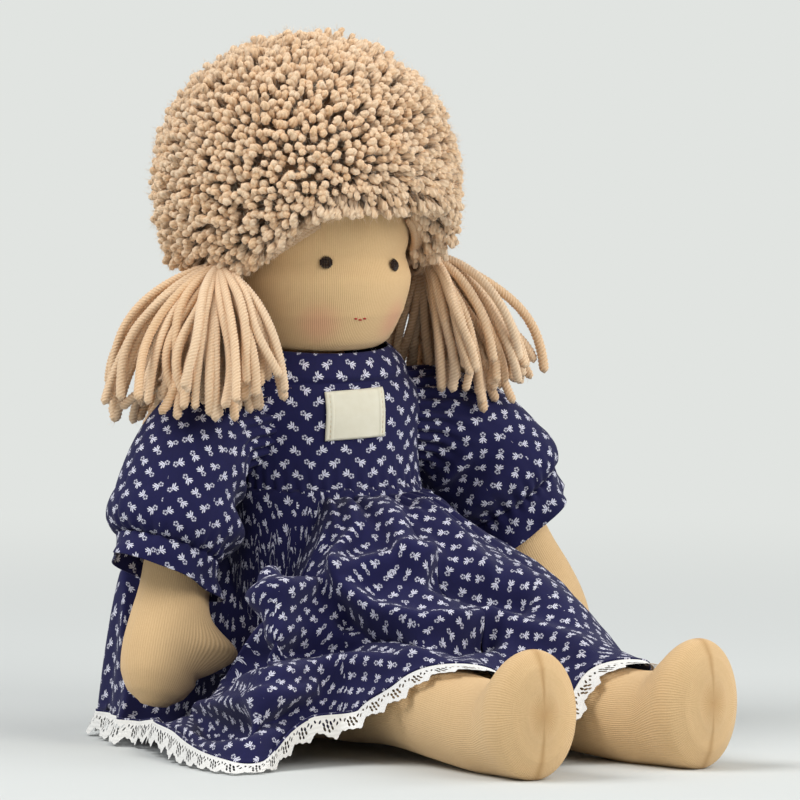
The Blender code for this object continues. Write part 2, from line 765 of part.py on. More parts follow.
def arm_rings(side):
    """Rings from the round top, past the turning centre, to the finger tips."""
    rings = []
    point, axis = arm_line(side, 0.0)
    for turn in np.linspace(math.radians(20), math.radians(72), 3):
        middle = point - axis * ARM_RADIUS * math.cos(turn)
        reach = ARM_RADIUS * math.sin(turn)
        across = np.array([axis[1], -axis[0]])
        ring = []
        for angle in np.linspace(0, 2 * math.pi, LIMB_SIDES, endpoint=False):
            flat = middle + across * math.cos(angle) * reach
            ring.append(arm_point(side, (flat[0], flat[1], -math.sin(angle) * reach)))
        rings.append(ring)
    for share, radius_share in ARM_SHARES:
        rings.append(arm_ring(side, share, radius_share * HAND_RADIUS))
    return rings


def make_arm(side, parts, cutters, materials):
    point, axis = arm_line(side, 0.0)
    pivot = (SIDES[side] * SHOULDER_X, SHOULDER_Y, SHOULDER_Z)
    end, _ = arm_line(side, 1.0)
    tip = arm_point(side, (end[0], end[1], 0.0))
    crown = point - axis * ARM_RADIUS
    pieces = make_stuffed(
        "arm_skin_" + side, "arm_stuffing_" + side, arm_rings(side),
        arm_point(side, (crown[0], crown[1], 0.0)), tip, parts, materials,
    )
    for piece in pieces:
        set_origin(piece, pivot)
    make_arm_gather(side, pivot, parts, cutters, materials)


def make_arm_gather(side, pivot, parts, cutters, materials):
    """The drawn-in end of the arm: a short roll from the body's side to the arm's round top."""
    sign = SIDES[side]
    inner = SHOULDER_X - gather_inner_x()
    rim = ARM_RADIUS - GATHER_RADIUS / 3
    profile = [
        (0.0, inner), (GATHER_RADIUS, inner), (GATHER_RADIUS, rim), (0.0, rim),
    ]
    roll = turned("arm_gather_" + side, profile, 20, parts, materials["jersey"])
    roll.rotation_euler = (0, -sign * math.pi / 2, 0)
    roll.location = pivot
    top = ball(
        "arm_top_" + side, ARM_RADIUS + RUNNING_GAP, pivot, cutters, sides=28, rows=16
    )
    cut(roll, top)


# Legs

def leg_rings(sign):
    """Rings from the round hip to the sole. What would pass under the floor is pressed flat."""
    hip = np.array([sign * HIP_X, HIP_Y])
    end = np.array([sign * FOOT_X, FOOT_END_Y])
    length = np.linalg.norm(end - hip)
    ahead = (end - hip) / length
    across = np.array([ahead[1], -ahead[0]])
    rings = []
    for turn in np.linspace(math.radians(18), math.radians(70), 3):
        middle = hip - ahead * LEG_RADIUS * math.cos(turn)
        reach = LEG_RADIUS * math.sin(turn)
        rings.append(ellipse(
            (*middle, HIP_Z), (*(across * reach), 0), (0, 0, reach), LIMB_SIDES + 2
        ))
    for share, wide, high, lift in LEG_SHARES:
        middle = hip + ahead * length * share
        height = HIP_Z if share == 0.0 else lift * FOOT_HALF_HEIGHT
        reach = LEG_RADIUS if share == 0.0 else high * FOOT_HALF_HEIGHT
        rings.append(ellipse(
            (*middle, height), (*(across * wide * LEG_RADIUS), 0), (0, 0, reach), LIMB_SIDES + 2
        ))
    rings = np.array(rings)
    rings[:, :, 2] = np.maximum(rings[:, :, 2], 0.0)
    tip = (*end, LEG_SHARES[-1][3] * FOOT_HALF_HEIGHT)
    top = (*(hip - ahead * LEG_RADIUS), HIP_Z)
    return rings, top, tip


def make_leg(side, parts, materials):
    sign = SIDES[side]
    pivot = (sign * HIP_X, HIP_Y, HIP_Z)
    rings, top, tip = leg_rings(sign)
    for piece in make_stuffed(
        "leg_skin_" + side, "leg_stuffing_" + side, rings, top, tip, parts, materials
    ):
        set_origin(piece, pivot)


# Dress

def bodice_rings(grow):
    """Rings from the waist over the shoulders to the neckline, outside the body by a distance."""
    rings = [body_ring(row_at(WAIST_Z), grow)]
    rings += [body_ring(row, grow) for row in body_rows(0.70, 0.955)]
    shoulder = body_ring(row_at(0.972 * NECK_TOP_Z), grow)
    shoulder[:, 2] += grow
    rings.append(shoulder)
    for share, flare in ((0.3, 1.14), (1.0, 1.0)):
        z = NECK_TOP_Z + grow + (COLLAR_Z - NECK_TOP_Z - grow) * share
        rings.append(ellipse(
            (0, NECK_Y, z), (COLLAR_HALF_WIDTH * flare, 0, 0), (0, COLLAR_HALF_DEPTH * flare, 0),
            BODY_SIDES,
        ))
    return np.array(rings)


def bodice_surface_y(x, z, front=True):
    """Depth of the bodice's outer face at a width and a height, in front or behind."""
    row = row_at(z)
    grow = GAP + COTTON
    wide = row[3] * BODY_HALF_WIDTH + grow
    low = SPINE_Y - row[1] * BODY_HALF_DEPTH - grow
    high = SPINE_Y + row[2] * BODY_HALF_DEPTH + grow
    half = (high - low) / 2 * math.sqrt(1 - (x / wide) ** 2)
    return (low + high) / 2 + (-half if front else half)


def make_bodice(parts, cutters, materials):
    bodice = place("bodice", loft("bodice", bodice_rings(GAP)), parts, materials["print"])
    thicken(bodice, COTTON, outward=True)
    reach = BODY_HALF_WIDTH + ARM_LENGTH
    armholes = rod(
        "armholes", ARMHOLE_RADIUS - COTTON, (-reach, SHOULDER_Y, SHOULDER_Z),
        (reach, SHOULDER_Y, SHOULDER_Z), cutters,
    )
    cut(bodice, armholes)
    outside = bodice_rings(GAP + COTTON + HAIR_CLEARANCE)
    place(
        "over_bodice",
        loft("over_bodice", outside, outside[0].mean(axis=0), outside[-1].mean(axis=0)), cutters,
    )


def sleeve_frame(side, share):
    """Middle and upward-outward half axis of a sleeve ring, both as (outward, downward)."""
    spread = arm_line(side, SLEEVE_END_SHARE * share)[1]
    full = math.pi / 2 - math.atan2(spread[0], spread[1])
    turn = full * min(1.0, share / 0.62)
    up = np.array([math.sin(turn), -math.cos(turn)])
    start = np.array([-(SHOULDER_X - bodice_side_x() - GAP), 0.0])
    knee = np.array([ARM_RADIUS / 6, ARM_RADIUS / 6])
    blend = min(1.0, share / 0.62)
    far = arm_line(side, SLEEVE_END_SHARE * 0.62)[0]
    near = (1 - blend) ** 2 * start + 2 * blend * (1 - blend) * knee + blend ** 2 * far
    middle = near if share < 0.62 else arm_line(side, SLEEVE_END_SHARE * share)[0]
    hang = SLEEVE_HANG * math.sin(min(1.0, share / 0.8) * math.pi / 2) ** 2
    return middle + up * hang, up


def bodice_side_x():
    return BODY_HALF_WIDTH * row_at(SHOULDER_Z)[3] + 2 * GAP + COTTON


def sleeve_ring(side, middle, up, tall, deep, sides=18):
    turn = np.linspace(0, 2 * math.pi, sides, endpoint=False)
    ring = []
    for angle in turn:
        flat = middle + up * tall * math.cos(angle)
        ring.append(arm_point(side, (flat[0], flat[1], deep * math.sin(angle))))
    return ring


def sleeve_rings(side, grow=0.0):
    rings = []
    for share, tall, deep in smooth_rows(SLEEVE_SHARES, 9):
        middle, up = sleeve_frame(side, share)
        rings.append(sleeve_ring(side, middle, up, tall * SLEEVE_PUFF + grow, deep * SLEEVE_PUFF + grow))
    return rings


def cuff_rings(side):
    rings = []
    start, up = sleeve_frame(side, 1.0)
    axis = arm_line(side, SLEEVE_END_SHARE)[1]
    for share in (0.0, 0.5, 1.0):
        middle = start + axis * (GAP + CUFF_LENGTH * share)
        radius = CUFF_RADIUS * (0.97 + 0.03 * share)
        rings.append(sleeve_ring(side, middle, up, radius, radius))
    return rings


def make_sleeve(side, parts, cutters, materials):
    pivot = (SIDES[side] * SHOULDER_X, SHOULDER_Y, SHOULDER_Z)
    sleeve = place(
        "sleeve_" + side, loft("sleeve_" + side, sleeve_rings(side)), parts, materials["print"]
    )
    thicken(sleeve, COTTON)
    set_origin(sleeve, pivot)
    cuff = place("cuff_" + side, loft("cuff_" + side, cuff_rings(side)), parts, materials["print"])
    thicken(cuff, COTTON)
    set_origin(cuff, pivot)
    around = np.array(sleeve_rings(side, HAIR_CLEARANCE))
    return place(
        "over_sleeve_" + side,
        loft("over_sleeve_" + side, around, around[0].mean(axis=0), around[-1].mean(axis=0)), cutters,
    )


def smooth_max(a, b, soft):
    return 0.5 * (a + b + np.sqrt((a - b) ** 2 + soft ** 2))


def leg_tent(x, y):
    """Height of cloth that lies over a leg and falls away steeply beside it."""
    best = np.zeros_like(x)
    rows = np.array(LEG_SHARES)
    for sign in SIDES.values():
        share = (y - HIP_Y) / (FOOT_END_Y - HIP_Y)
        middle = sign * (HIP_X + (FOOT_X - HIP_X) * share)
        lift = np.interp(share, rows[:5, 0], rows[:5, 3]) * FOOT_HALF_HEIGHT
        reach = LEG_RADIUS + 2 * GAP + SKIRT_WALL
        aside = np.abs(x - middle)
        bend = math.radians(58)
        round_part = lift + np.sqrt(np.maximum(reach ** 2 - aside ** 2, 0))
        edge = reach * math.sin(bend)
        straight = lift + reach * math.cos(bend) - (aside - edge) * math.tan(bend)
        top = np.where(aside < edge, round_part, straight)
        fade = np.clip((HIP_Y + LEG_RADIUS - y) / LEG_RADIUS, 0, 1)
        best = np.maximum(best, top * fade)
    return best


def arm_room(x, y):
    """The highest that the skirt may lie, so that the sleeves and hands hang clear of it."""
    room = np.full_like(x, WAIST_Z)
    steep = 1.9
    for side in SIDES:
        _, up = sleeve_frame(side, 1.0)
        hem_share = SLEEVE_END_SHARE + CUFF_LENGTH / ARM_LENGTH
        lumps = [(hem_share, 0.0, 0.0, SLEEVE_PUFF, -up[1] * CUFF_RADIUS)]
        lumps += [(share, 0.0, 0.0, HAND_RADIUS, HAND_RADIUS * 0.8) for share in (0.60, 0.72, 0.84, 0.94)]
        lumps.append((THUMB_PLACE_SHARE, -HAND_RADIUS, HAND_RADIUS * 0.8, THUMB_REACH, THUMB_REACH))
        for share, out, ahead, radius, depth in lumps:
            point, _ = arm_line(side, share)
            hub = arm_point(side, (point[0] + out, point[1], ahead))
            away = np.hypot(x - hub[0], y - hub[1]) - radius - HANG_ROOM
            under = hub[2] - abs(depth) - HANG_ROOM
            room = np.minimum(room, under + steep * smooth_max(away, 0, HANG_ROOM))
    return room


def skirt_points(turn, share, beyond=0.0):
    """Points of the skirt's upper face: directions in turns by shares from waist to hem."""
    turn, share = np.meshgrid(turn, share)
    angle = turn * 2 * math.pi
    row = row_at(WAIST_Z)
    low = SPINE_Y - row[1] * BODY_HALF_DEPTH
    high = SPINE_Y + row[2] * BODY_HALF_DEPTH
    wide = row[3] * BODY_HALF_WIDTH + GAP
    waist_x = wide * np.cos(angle)
    waist_y = (low + high) / 2 + ((high - low) / 2 + GAP) * np.sin(angle)
    table = np.array(HEM_SHARES)
    hem = periodic(table, turn) * SKIRT_LENGTH + beyond
    hem_x = hem * np.cos(angle)
    hem_y = (low + high) / 2 + hem * np.sin(angle)
    x = waist_x + (hem_x - waist_x) * share
    y = waist_y + (hem_y - waist_y) * share
    front = 0.5 - 0.5 * np.sin(angle)
    power = 2.3 - 1.05 * front
    top = WAIST_Z - GAP
    base = top * (1 - np.clip(share, 0, 1) ** power)
    middle = np.exp(-((angle - 1.5 * math.pi) / 0.5) ** 2)
    base = base + (HIP_Z * 0.8) * middle * share
    for direction, reach, width, height in FOLD_SHARES:
        off = np.abs((turn - direction + 0.5) % 1.0 - 0.5)
        ridge = np.exp(-((off / width) ** 2)) * np.exp(-(((share - reach) / 0.28) ** 2))
        base = base + FOLD_HEIGHT * height * ridge
    base = base - FOLD_HEIGHT * 0.5 * np.sin(math.pi * share) * front
    tent = leg_tent(x, y)
    soft = 2 * FOLD_HEIGHT * np.sin(np.clip(share, 0, 1) * math.pi / 2) * np.clip(tent / LEG_RADIUS, 0, 1)
    z = smooth_max(base, tent, soft)
    z = -smooth_max(-z, -arm_room(x, y), FOLD_HEIGHT)
    z = np.maximum(z, tent)
    z = np.where(share <= 0, top, np.minimum(z, top))
    return np.stack([x, y, z], axis=-1)


def periodic(table, turn):
    """Reads a closed table of evenly spaced values through a Catmull-Rom curve."""
    at = (turn % 1.0) * len(table)
    k = np.floor(at).astype(int)
    f = at - k
    a, b, c, d = (table[(k + step) % len(table)] for step in (-1, 0, 1, 2))
    return b + 0.5 * f * (c - a + f * (2 * a - 5 * b + 4 * c - d + f * (3 * (b - c) + d - a)))


def cloth_sheet(name, upper, wall):
    """A closed sheet: upper rings, and the same rings a wall lower but over the floor."""
    upper = np.array(upper)
    upper[:, :, 2] = np.maximum(upper[:, :, 2], SKIRT_FLOOR + wall)
    lower = upper.copy()
    lower[:, :, 2] -= wall
    rings = np.vstack([upper, lower[::-1], upper[:1]])
    mesh = loft(name, rings)
    build = bmesh.new()
    build.from_mesh(mesh)
    bmesh.ops.remove_doubles(build, verts=build.verts, dist=MERGE)
    bmesh.ops.recalc_face_normals(build, faces=build.faces)
    build.to_mesh(mesh)
    build.free()
    return mesh


def make_skirt(parts, materials):
    turn = np.linspace(0, 1, SKIRT_SIDES, endpoint=False)
    upper = skirt_points(turn, np.array(SKIRT_STEPS_SHARES))
    place("skirt", cloth_sheet("skirt", upper, SKIRT_WALL), parts, materials["print"])
    start = 1.0 + GAP / SKIRT_LENGTH * 2
    inner = skirt_points(turn, np.array([start]))
    outer = skirt_points(turn, np.array([start]), LACE_WIDTH)
    mesh = cloth_sheet("skirt_lace", np.vstack([inner, outer]), LACE_WALL)
    place("skirt_lace", mesh, parts, materials["lace"])


def make_patch(parts, materials):
    """The small sewn-on patch on the chest, bent to the bodice."""
    rings = []
    for share in np.linspace(-0.5, 0.5, 5):
        x = PATCH_X + PATCH_WIDTH * share
        heights = np.linspace(PATCH_Z - PATCH_HEIGHT / 2, PATCH_Z + PATCH_HEIGHT / 2, 4)
        inner = [(x, bodice_surface_y(x, z) - 2 * GAP, z) for z in heights]
        outer = [(x, y - PATCH_WALL, z) for x, y, z in reversed(inner)]
        rings.append(inner + outer)
    rings = np.array(rings)
    mesh = loft("chest_patch", rings, rings[0].mean(axis=0), rings[-1].mean(axis=0))
    place("chest_patch", mesh, parts, materials["patch"])


def make_back_opening(parts, materials):
    """The overlap strip of the dress's back opening, with two buttons on it."""
    heights = np.linspace(WAIST_Z + GAP, NECK_TOP_Z * 0.945, 6)
    rings = []
    for z in heights:
        edge = bodice_surface_y(PLACKET_WIDTH / 2, z, front=False) + GAP
        crest = bodice_surface_y(0.0, z, front=False) + GAP
        half = PLACKET_WIDTH / 2
        rings.append([
            (-half, edge, z), (0, crest, z), (half, edge, z),
            (half, edge + PLACKET_WALL, z), (0, crest + PLACKET_WALL, z), (-half, edge + PLACKET_WALL, z),
        ])
    rings = np.array(rings)
    mesh = loft("back_placket", rings, rings[0].mean(axis=0), rings[-1].mean(axis=0))
    place("back_placket", mesh, parts, materials["print"])
    for name, share in (("upper", 0.82), ("lower", 0.28)):
        z = heights[0] + (heights[-1] - heights[0]) * share
        half = BUTTON_THICKNESS / 2
        y = bodice_surface_y(0.0, z, front=False) + GAP + PLACKET_WALL + half + GAP
        profile = [
            (0.0, half), (BUTTON_RADIUS * 0.8, half), (BUTTON_RADIUS, 0.0), (BUTTON_RADIUS * 0.8, -half),
            (0.0, -half),
        ]
        button = turned("back_button_" + name, profile, 14, parts, materials["button"])
        button.rotation_euler = (math.radians(90), 0, 0)
        button.location = (0, y, z)


def main():
    clear_scene()
    parts = make_collection(COLLECTION)
    cutters = make_collection("cutters")
    materials = {
        "jersey": make_material("jersey", (0.68, 0.50, 0.30), 0.85),
        "wool": make_material("wool", (0.80, 0.76, 0.68), 0.95),
        "thread": make_material("thread", (0.75, 0.70, 0.60), 0.80),
        "eye": make_material("eye", (0.045, 0.022, 0.012), 0.55),
        "mouth": make_material("mouth", (0.55, 0.08, 0.08), 0.70),
        "hair": make_material("hair", (0.50, 0.34, 0.22), 0.90),
        "tie": make_material("tie", (0.42, 0.28, 0.18), 0.85),
        "print": make_material("print", (0.022, 0.022, 0.085), 0.80),
        "lace": make_material("lace", (0.88, 0.87, 0.84), 0.80),
        "patch": make_material("patch", (0.85, 0.82, 0.72), 0.80),
        "button": make_material("button", (0.030, 0.030, 0.090), 0.45),
    }
    make_body(parts, cutters, materials)
    make_neck(parts, materials)
    make_head(parts, cutters, materials)
    make_bodice(parts, cutters, materials)
    sleeve_cutters = {}
    for side in SIDES:
        make_arm(side, parts, cutters, materials)
        make_leg(side, parts, materials)
        sleeve_cutters[side] = make_sleeve(side, parts, cutters, materials)
    make_skirt(parts, materials)
    make_patch(parts, materials)
    make_back_opening(parts, materials)
    make_hair(parts, cutters, materials, sleeve_cutters)


if __name__ == "__main__":
    main()
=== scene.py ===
import math

import bpy
import numpy as np
from bpy.props import FloatProperty, FloatVectorProperty, IntProperty, PointerProperty
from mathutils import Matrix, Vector


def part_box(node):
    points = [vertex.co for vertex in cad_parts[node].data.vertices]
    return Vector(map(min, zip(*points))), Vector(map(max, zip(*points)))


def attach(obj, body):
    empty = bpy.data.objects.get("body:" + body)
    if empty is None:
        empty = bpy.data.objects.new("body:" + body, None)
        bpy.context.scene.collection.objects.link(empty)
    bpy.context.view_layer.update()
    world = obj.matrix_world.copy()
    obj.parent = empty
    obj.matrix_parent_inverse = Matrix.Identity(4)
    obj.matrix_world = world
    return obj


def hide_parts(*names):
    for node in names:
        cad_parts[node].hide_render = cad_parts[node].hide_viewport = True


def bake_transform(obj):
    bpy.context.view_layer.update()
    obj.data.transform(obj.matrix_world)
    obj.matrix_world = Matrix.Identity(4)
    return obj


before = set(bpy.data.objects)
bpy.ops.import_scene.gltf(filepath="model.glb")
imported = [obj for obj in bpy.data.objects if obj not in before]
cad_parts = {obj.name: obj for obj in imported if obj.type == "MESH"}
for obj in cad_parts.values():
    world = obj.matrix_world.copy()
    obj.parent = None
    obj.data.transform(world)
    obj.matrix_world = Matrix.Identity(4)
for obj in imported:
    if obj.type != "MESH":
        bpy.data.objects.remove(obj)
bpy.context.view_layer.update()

bl_info = {
    "name": "Seated rag doll",
    "version": (1, 0, 0),
    "blender": (4, 5, 0),
    "location": "View3D > Sidebar > Doll",
    "description": "A seated wool-stuffed doll in a sprigged cotton dress, dressed over its packed frame",
    "category": "Object",
}

SIDES = {"right": -1.0, "left": 1.0}


def linear(hexa):
    """The linear colour of an sRGB hex code, with alpha 1: ((c + 0.055) / 1.055) ** 2.4."""
    parts = [int(hexa[i:i + 2], 16) / 255 for i in (0, 2, 4)]
    return tuple(c / 12.92 if c <= 0.04045 else ((c + 0.055) / 1.055) ** 2.4 for c in parts) + (1.0,)


def length(name, value, text):
    return FloatProperty(name=name, description=text, default=value, min=0.0, unit="LENGTH", precision=5)


def place(name, value, text):
    return FloatProperty(name=name, description=text, default=value, unit="LENGTH", precision=5)


def angle(name, degrees, text):
    return FloatProperty(name=name, description=text, default=math.radians(degrees), subtype="ANGLE")


def count(name, value, text):
    return IntProperty(name=name, description=text, default=value, min=1)


def colour(name, hexa, text):
    return FloatVectorProperty(
        name=name, description=text, default=linear(hexa), size=4, min=0.0, max=1.0, subtype="COLOR"
    )


class DollSizes(bpy.types.PropertyGroup):
    """Sizes of the doll and its dress, in metres."""
    head_half_width: length("Head half width", 0.0388, "Half width of the head at its widest")
    head_bottom: length("Head bottom", 0.1535, "Height of the chin over the floor")
    head_top: length("Head top", 0.2395, "Height of the crown under the hair")
    neck_y: place("Neck depth", 0.005, "Place of the head's axis from front to back")
    eye_angle: angle("Eye angle", 25.0, "Angle of each eye from straight ahead")
    eye_radius: length("Eye radius", 0.0026, "Radius of a stitched eye")
    mouth_drop: length("Mouth drop", 0.0219, "Height of the eyes over the mouth")
    pile_radius: length("Hair radius", 0.0618, "Radius of the ball of cut yarn ends")
    pile_z: length("Hair height", 0.2185, "Height of the middle of the ball of yarn ends")
    pile_y: place("Hair depth", 0.0100, "Place of the middle of the ball from front to back")
    tufts: count("Yarn ends", 5200, "Cut yarn ends over a whole ball")
    strand_radius: length("Yarn radius", 0.00190, "Radius of the plied yarn")
    twist: length("Yarn twist", 0.0056, "Length of one turn of the yarn's twist")
    tie_x: length("Tie width", 0.0472, "Place of a bunch's tie from the middle")
    tie_y: place("Tie depth", 0.0005, "Place of a bunch's tie from front to back")
    tie_z: length("Tie height", 0.1880, "Height of a bunch's tie")
    bunch_strands: count("Bunch strands", 104, "Strands of yarn in each side bunch")
    bunch_length: length("Bunch length", 0.0775, "Length of a bunch's strands past the tie")
    body_half_width: length("Body half width", 0.042, "Half width of the body")
    body_half_depth: length("Body half depth", 0.0285, "Half depth of the body")
    neck_top: length("Neck height", 0.147, "Height of the body skin's mouth")
    waist_z: length("Waist height", 0.100, "Height of the waist seam")
    shoulder_x: length("Shoulder width", 0.0575, "Place of an arm's turning centre from the middle")
    shoulder_z: length("Shoulder height", 0.126, "Height of an arm's turning centre")
    arm_radius: length("Arm radius", 0.0135, "Radius of the arm's round top")
    hand_radius: length("Hand radius", 0.0165, "Radius of the hand")
    arm_length: length("Arm length", 0.1145, "Turning centre to finger tips")
    thumb_reach: length("Thumb reach", 0.013, "How far the thumb stands out of the hand")
    hip_x: length("Hip width", 0.022, "Place of a leg's turning centre from the middle")
    hip_y: place("Hip depth", -0.032, "Place of a leg's turning centre from front to back")
    hip_z: length("Hip height", 0.022, "Height of a leg's turning centre")
    leg_radius: length("Leg radius", 0.020, "Half width of the leg")
    foot_x: length("Foot width", 0.041, "Place of a foot from the middle")
    foot_y: place("Foot depth", -0.213, "Place of the soles from front to back")
    foot_half_height: length("Foot half height", 0.0262, "Half height of the foot")
    sleeve_puff: length("Sleeve puff", 0.0265, "Half width of the sleeve at its fullest")
    sleeve_hang: length("Sleeve hang", 0.006, "How far the sleeve hangs outside the arm's axis")
    cuff_radius: length("Cuff radius", 0.0222, "Radius of the sleeve's hem")
    cuff_length: length("Cuff length", 0.0115, "Length of the sleeve under its tuck")
    collar_half_width: length("Neckline half width", 0.0325, "Half width of the neckline")
    collar_half_depth: length("Neckline half depth", 0.0275, "Half depth of the neckline")
    collar_z: length("Neckline height", 0.1562, "Height of the neckline")
    cotton: length("Cotton", 0.0007, "Thickness of the dress cloth")
    skirt_length: length("Skirt length", 0.160, "Waist to hem, seen from above")
    fold_height: length("Fold height", 0.005, "Height of the skirt's main folds")
    lace_width: length("Lace width", 0.0105, "Width of the lace past the hem")
    patch_width: length("Patch width", 0.0275, "Width of the chest patch")
    patch_height: length("Patch height", 0.0192, "Height of the chest patch")
    patch_x: place("Patch place", -0.0034, "Place of the patch from the middle")
    patch_z: length("Patch level", 0.1305, "Height of the patch's middle")
    placket_width: length("Placket width", 0.0075, "Width of the back opening's overlap")
    button_radius: length("Button radius", 0.0032, "Radius of a back button")


class DollColours(bpy.types.PropertyGroup):
    """Colours of the doll and its dress."""
    jersey: colour("Jersey", "E4C292", "Knitted skin")
    # Painted shade between the skin's ribs; the seam lines take the same darker colour.
    jersey_shade_and_seam: colour("Jersey groove", "BC9260", "Between the skin's ribs and in its seams")
    blush: colour("Blush", "D98E78", "Cheeks")
    eye: colour("Eyes", "2A1A12", "Eye stitches")
    mouth: colour("Mouth", "C23B36", "Mouth stitches")
    yarn: colour("Yarn", "ECC294", "Hair")
    # Lighter strands and fibres, and the painted highlight on raised plies.
    yarn_light: colour("Yarn tips", "FFEBD0", "Cut ends and raised plies")
    # Painted shade near the roots, over the wool under the ends, at the ties and between the plies.
    yarn_dark: colour("Yarn shadow", "8C6A4E", "Roots and between the plies")
    cotton: colour("Cotton", "1D1C52", "Dress cloth")
    # Painted shade between the cloth's threads, and the darker part of the random slubs and clouds.
    cotton_dark: colour("Cotton shadow", "121235", "Between the dress cloth's threads")
    sprig: colour("Sprigs", "E2E2F0", "Printed sprigs")
    lace: colour("Lace", "F4F3EF", "Lace edging")
    patch: colour("Patch", "EFEBDA", "Chest patch")
    stitch: colour("Stitches", "D8D0B4", "Patch stitches")
    button: colour("Buttons", "24264E", "Back buttons")
    stage: colour("Floor", "D5D8D6", "Floor round the doll")
    room: colour("Room", "E1E4E1", "Plain colour behind the doll")


# Shader maths

class Value:
    """A socket that adds a Math node for each operator used on it."""

    def __init__(self, paint, socket):
        self.paint, self.socket = paint, socket

    def math(self, operation, *others):
        return self.paint.node(
            "ShaderNodeMath", {"operation": operation}, dict(enumerate((self, *others)))
        )

    def __add__(self, other): return self.math("ADD", other)
    def __radd__(self, other): return self.math("ADD", other)
    def __sub__(self, other): return self.math("SUBTRACT", other)
    def __rsub__(self, other): return (self * -1.0) + other
    def __mul__(self, other): return self.math("MULTIPLY", other)
    def __rmul__(self, other): return self.math("MULTIPLY", other)
    def __truediv__(self, other): return self.math("DIVIDE", other)
    def __pow__(self, other): return self.math("POWER", other)
    def __neg__(self): return self * -1.0
    def __abs__(self): return self.math("ABSOLUTE")
    def __lt__(self, other): return self.math("LESS_THAN", other)
    def __gt__(self, other): return self.math("GREATER_THAN", other)

    def least(self, other): return self.math("MINIMUM", other)
    def most(self, other): return self.math("MAXIMUM", other)
    def sine(self): return self.math("SINE")
    def cosine(self): return self.math("COSINE")
    def whole(self): return self.math("FLOOR")
    def part(self): return self.math("FRACT")
    def root(self): return self.math("SQRT")
    def over(self, other): return self.math("ARCTAN2", other)
    def wave(self, pitch): return (self * (2 * math.pi / pitch)).sine()
    def ridge(self, pitch): return (self * (2 * math.pi / pitch)).cosine() * 0.5 + 0.5

    def step(self, low, high):
        """0 under low, 1 over high, smooth between."""
        return self.paint.node(
            "ShaderNodeMapRange", {"interpolation_type": "SMOOTHSTEP"},
            {"Value": self, "From Min": low, "From Max": high}
        )


class Paint:
    """A node material on one Principled shader."""

    def __init__(self, name):
        self.material = bpy.data.materials.new(name)
        self.material.use_nodes = True
        self.tree = self.material.node_tree
        self.shader = self.tree.nodes["Principled BSDF"]

    def node(self, kind, settings=None, sockets=None, out=0):
        """Adds a node: its settings first, then the values or links of its sockets."""
        made = self.tree.nodes.new(kind)
        for key, value in (settings or {}).items():
            setattr(made, key, value)
        for key, value in (sockets or {}).items():
            self.feed(made.inputs[key], value)
        return Value(self, made.outputs[out])

    def feed(self, socket, value):
        if isinstance(value, Value):
            self.tree.links.new(value.socket, socket)
        else:
            socket.default_value = value

    def set(self, **sockets):
        for key, value in sockets.items():
            self.feed(self.shader.inputs[key.replace("_", " ")], value)

    def place(self):
        """The point in the object's own metres."""
        return self.node("ShaderNodeTexCoord", out=3)

    def uv(self):
        """The piece's own UV map as two values, in metres of cloth or yarn."""
        both = self.node("ShaderNodeUVMap", {"uv_map": "cloth"})
        return (
            self.node("ShaderNodeSeparateXYZ", sockets={0: both}, out=0),
            self.node("ShaderNodeSeparateXYZ", sockets={0: both}, out=1),
        )

    def attribute(self, name):
        return self.node("ShaderNodeAttribute", {"attribute_name": name}, out=2)

    def noise(self, vector, scale, detail=2.0, rough=0.5):
        sockets = {"Vector": vector, "Scale": scale, "Detail": detail, "Roughness": rough}
        return self.node("ShaderNodeTexNoise", {}, sockets)

    def vector(self, x, y, z=0.0):
        return self.node("ShaderNodeCombineXYZ", {}, {0: x, 1: y, 2: z})

    def mix(self, share, first, second):
        """The colour between two colours."""
        return self.node(
            "ShaderNodeMix", {"data_type": "RGBA"}, {0: share, 6: first, 7: second}, out=2
        )

    def bump(self, height, distance, strength=1.0, under=None):
        sockets = {"Height": height, "Distance": distance, "Strength": strength}
        if under is not None:
            sockets["Normal"] = under
        return self.node("ShaderNodeBump", {}, sockets)


def tone(share, low, high):
    """A value between two numbers."""
    return share * (high - low) + low


def bell(x):
    """A bell curve, exp(-x^2)."""
    return np.exp(-(x ** 2))


def scaled(base, share):
    """A colour times a share, with alpha 1."""
    return tuple(share * c for c in base[:3]) + (1.0,)


RIB_PITCH, STITCH_PITCH = 0.00088, 0.00062
WEAVE_PITCH, TAPE_PITCH = 0.00042, 0.00045
SPRIG_COLUMN, SPRIG_RISE = 0.0049, 0.0097
LACE_REPEAT = 0.0120


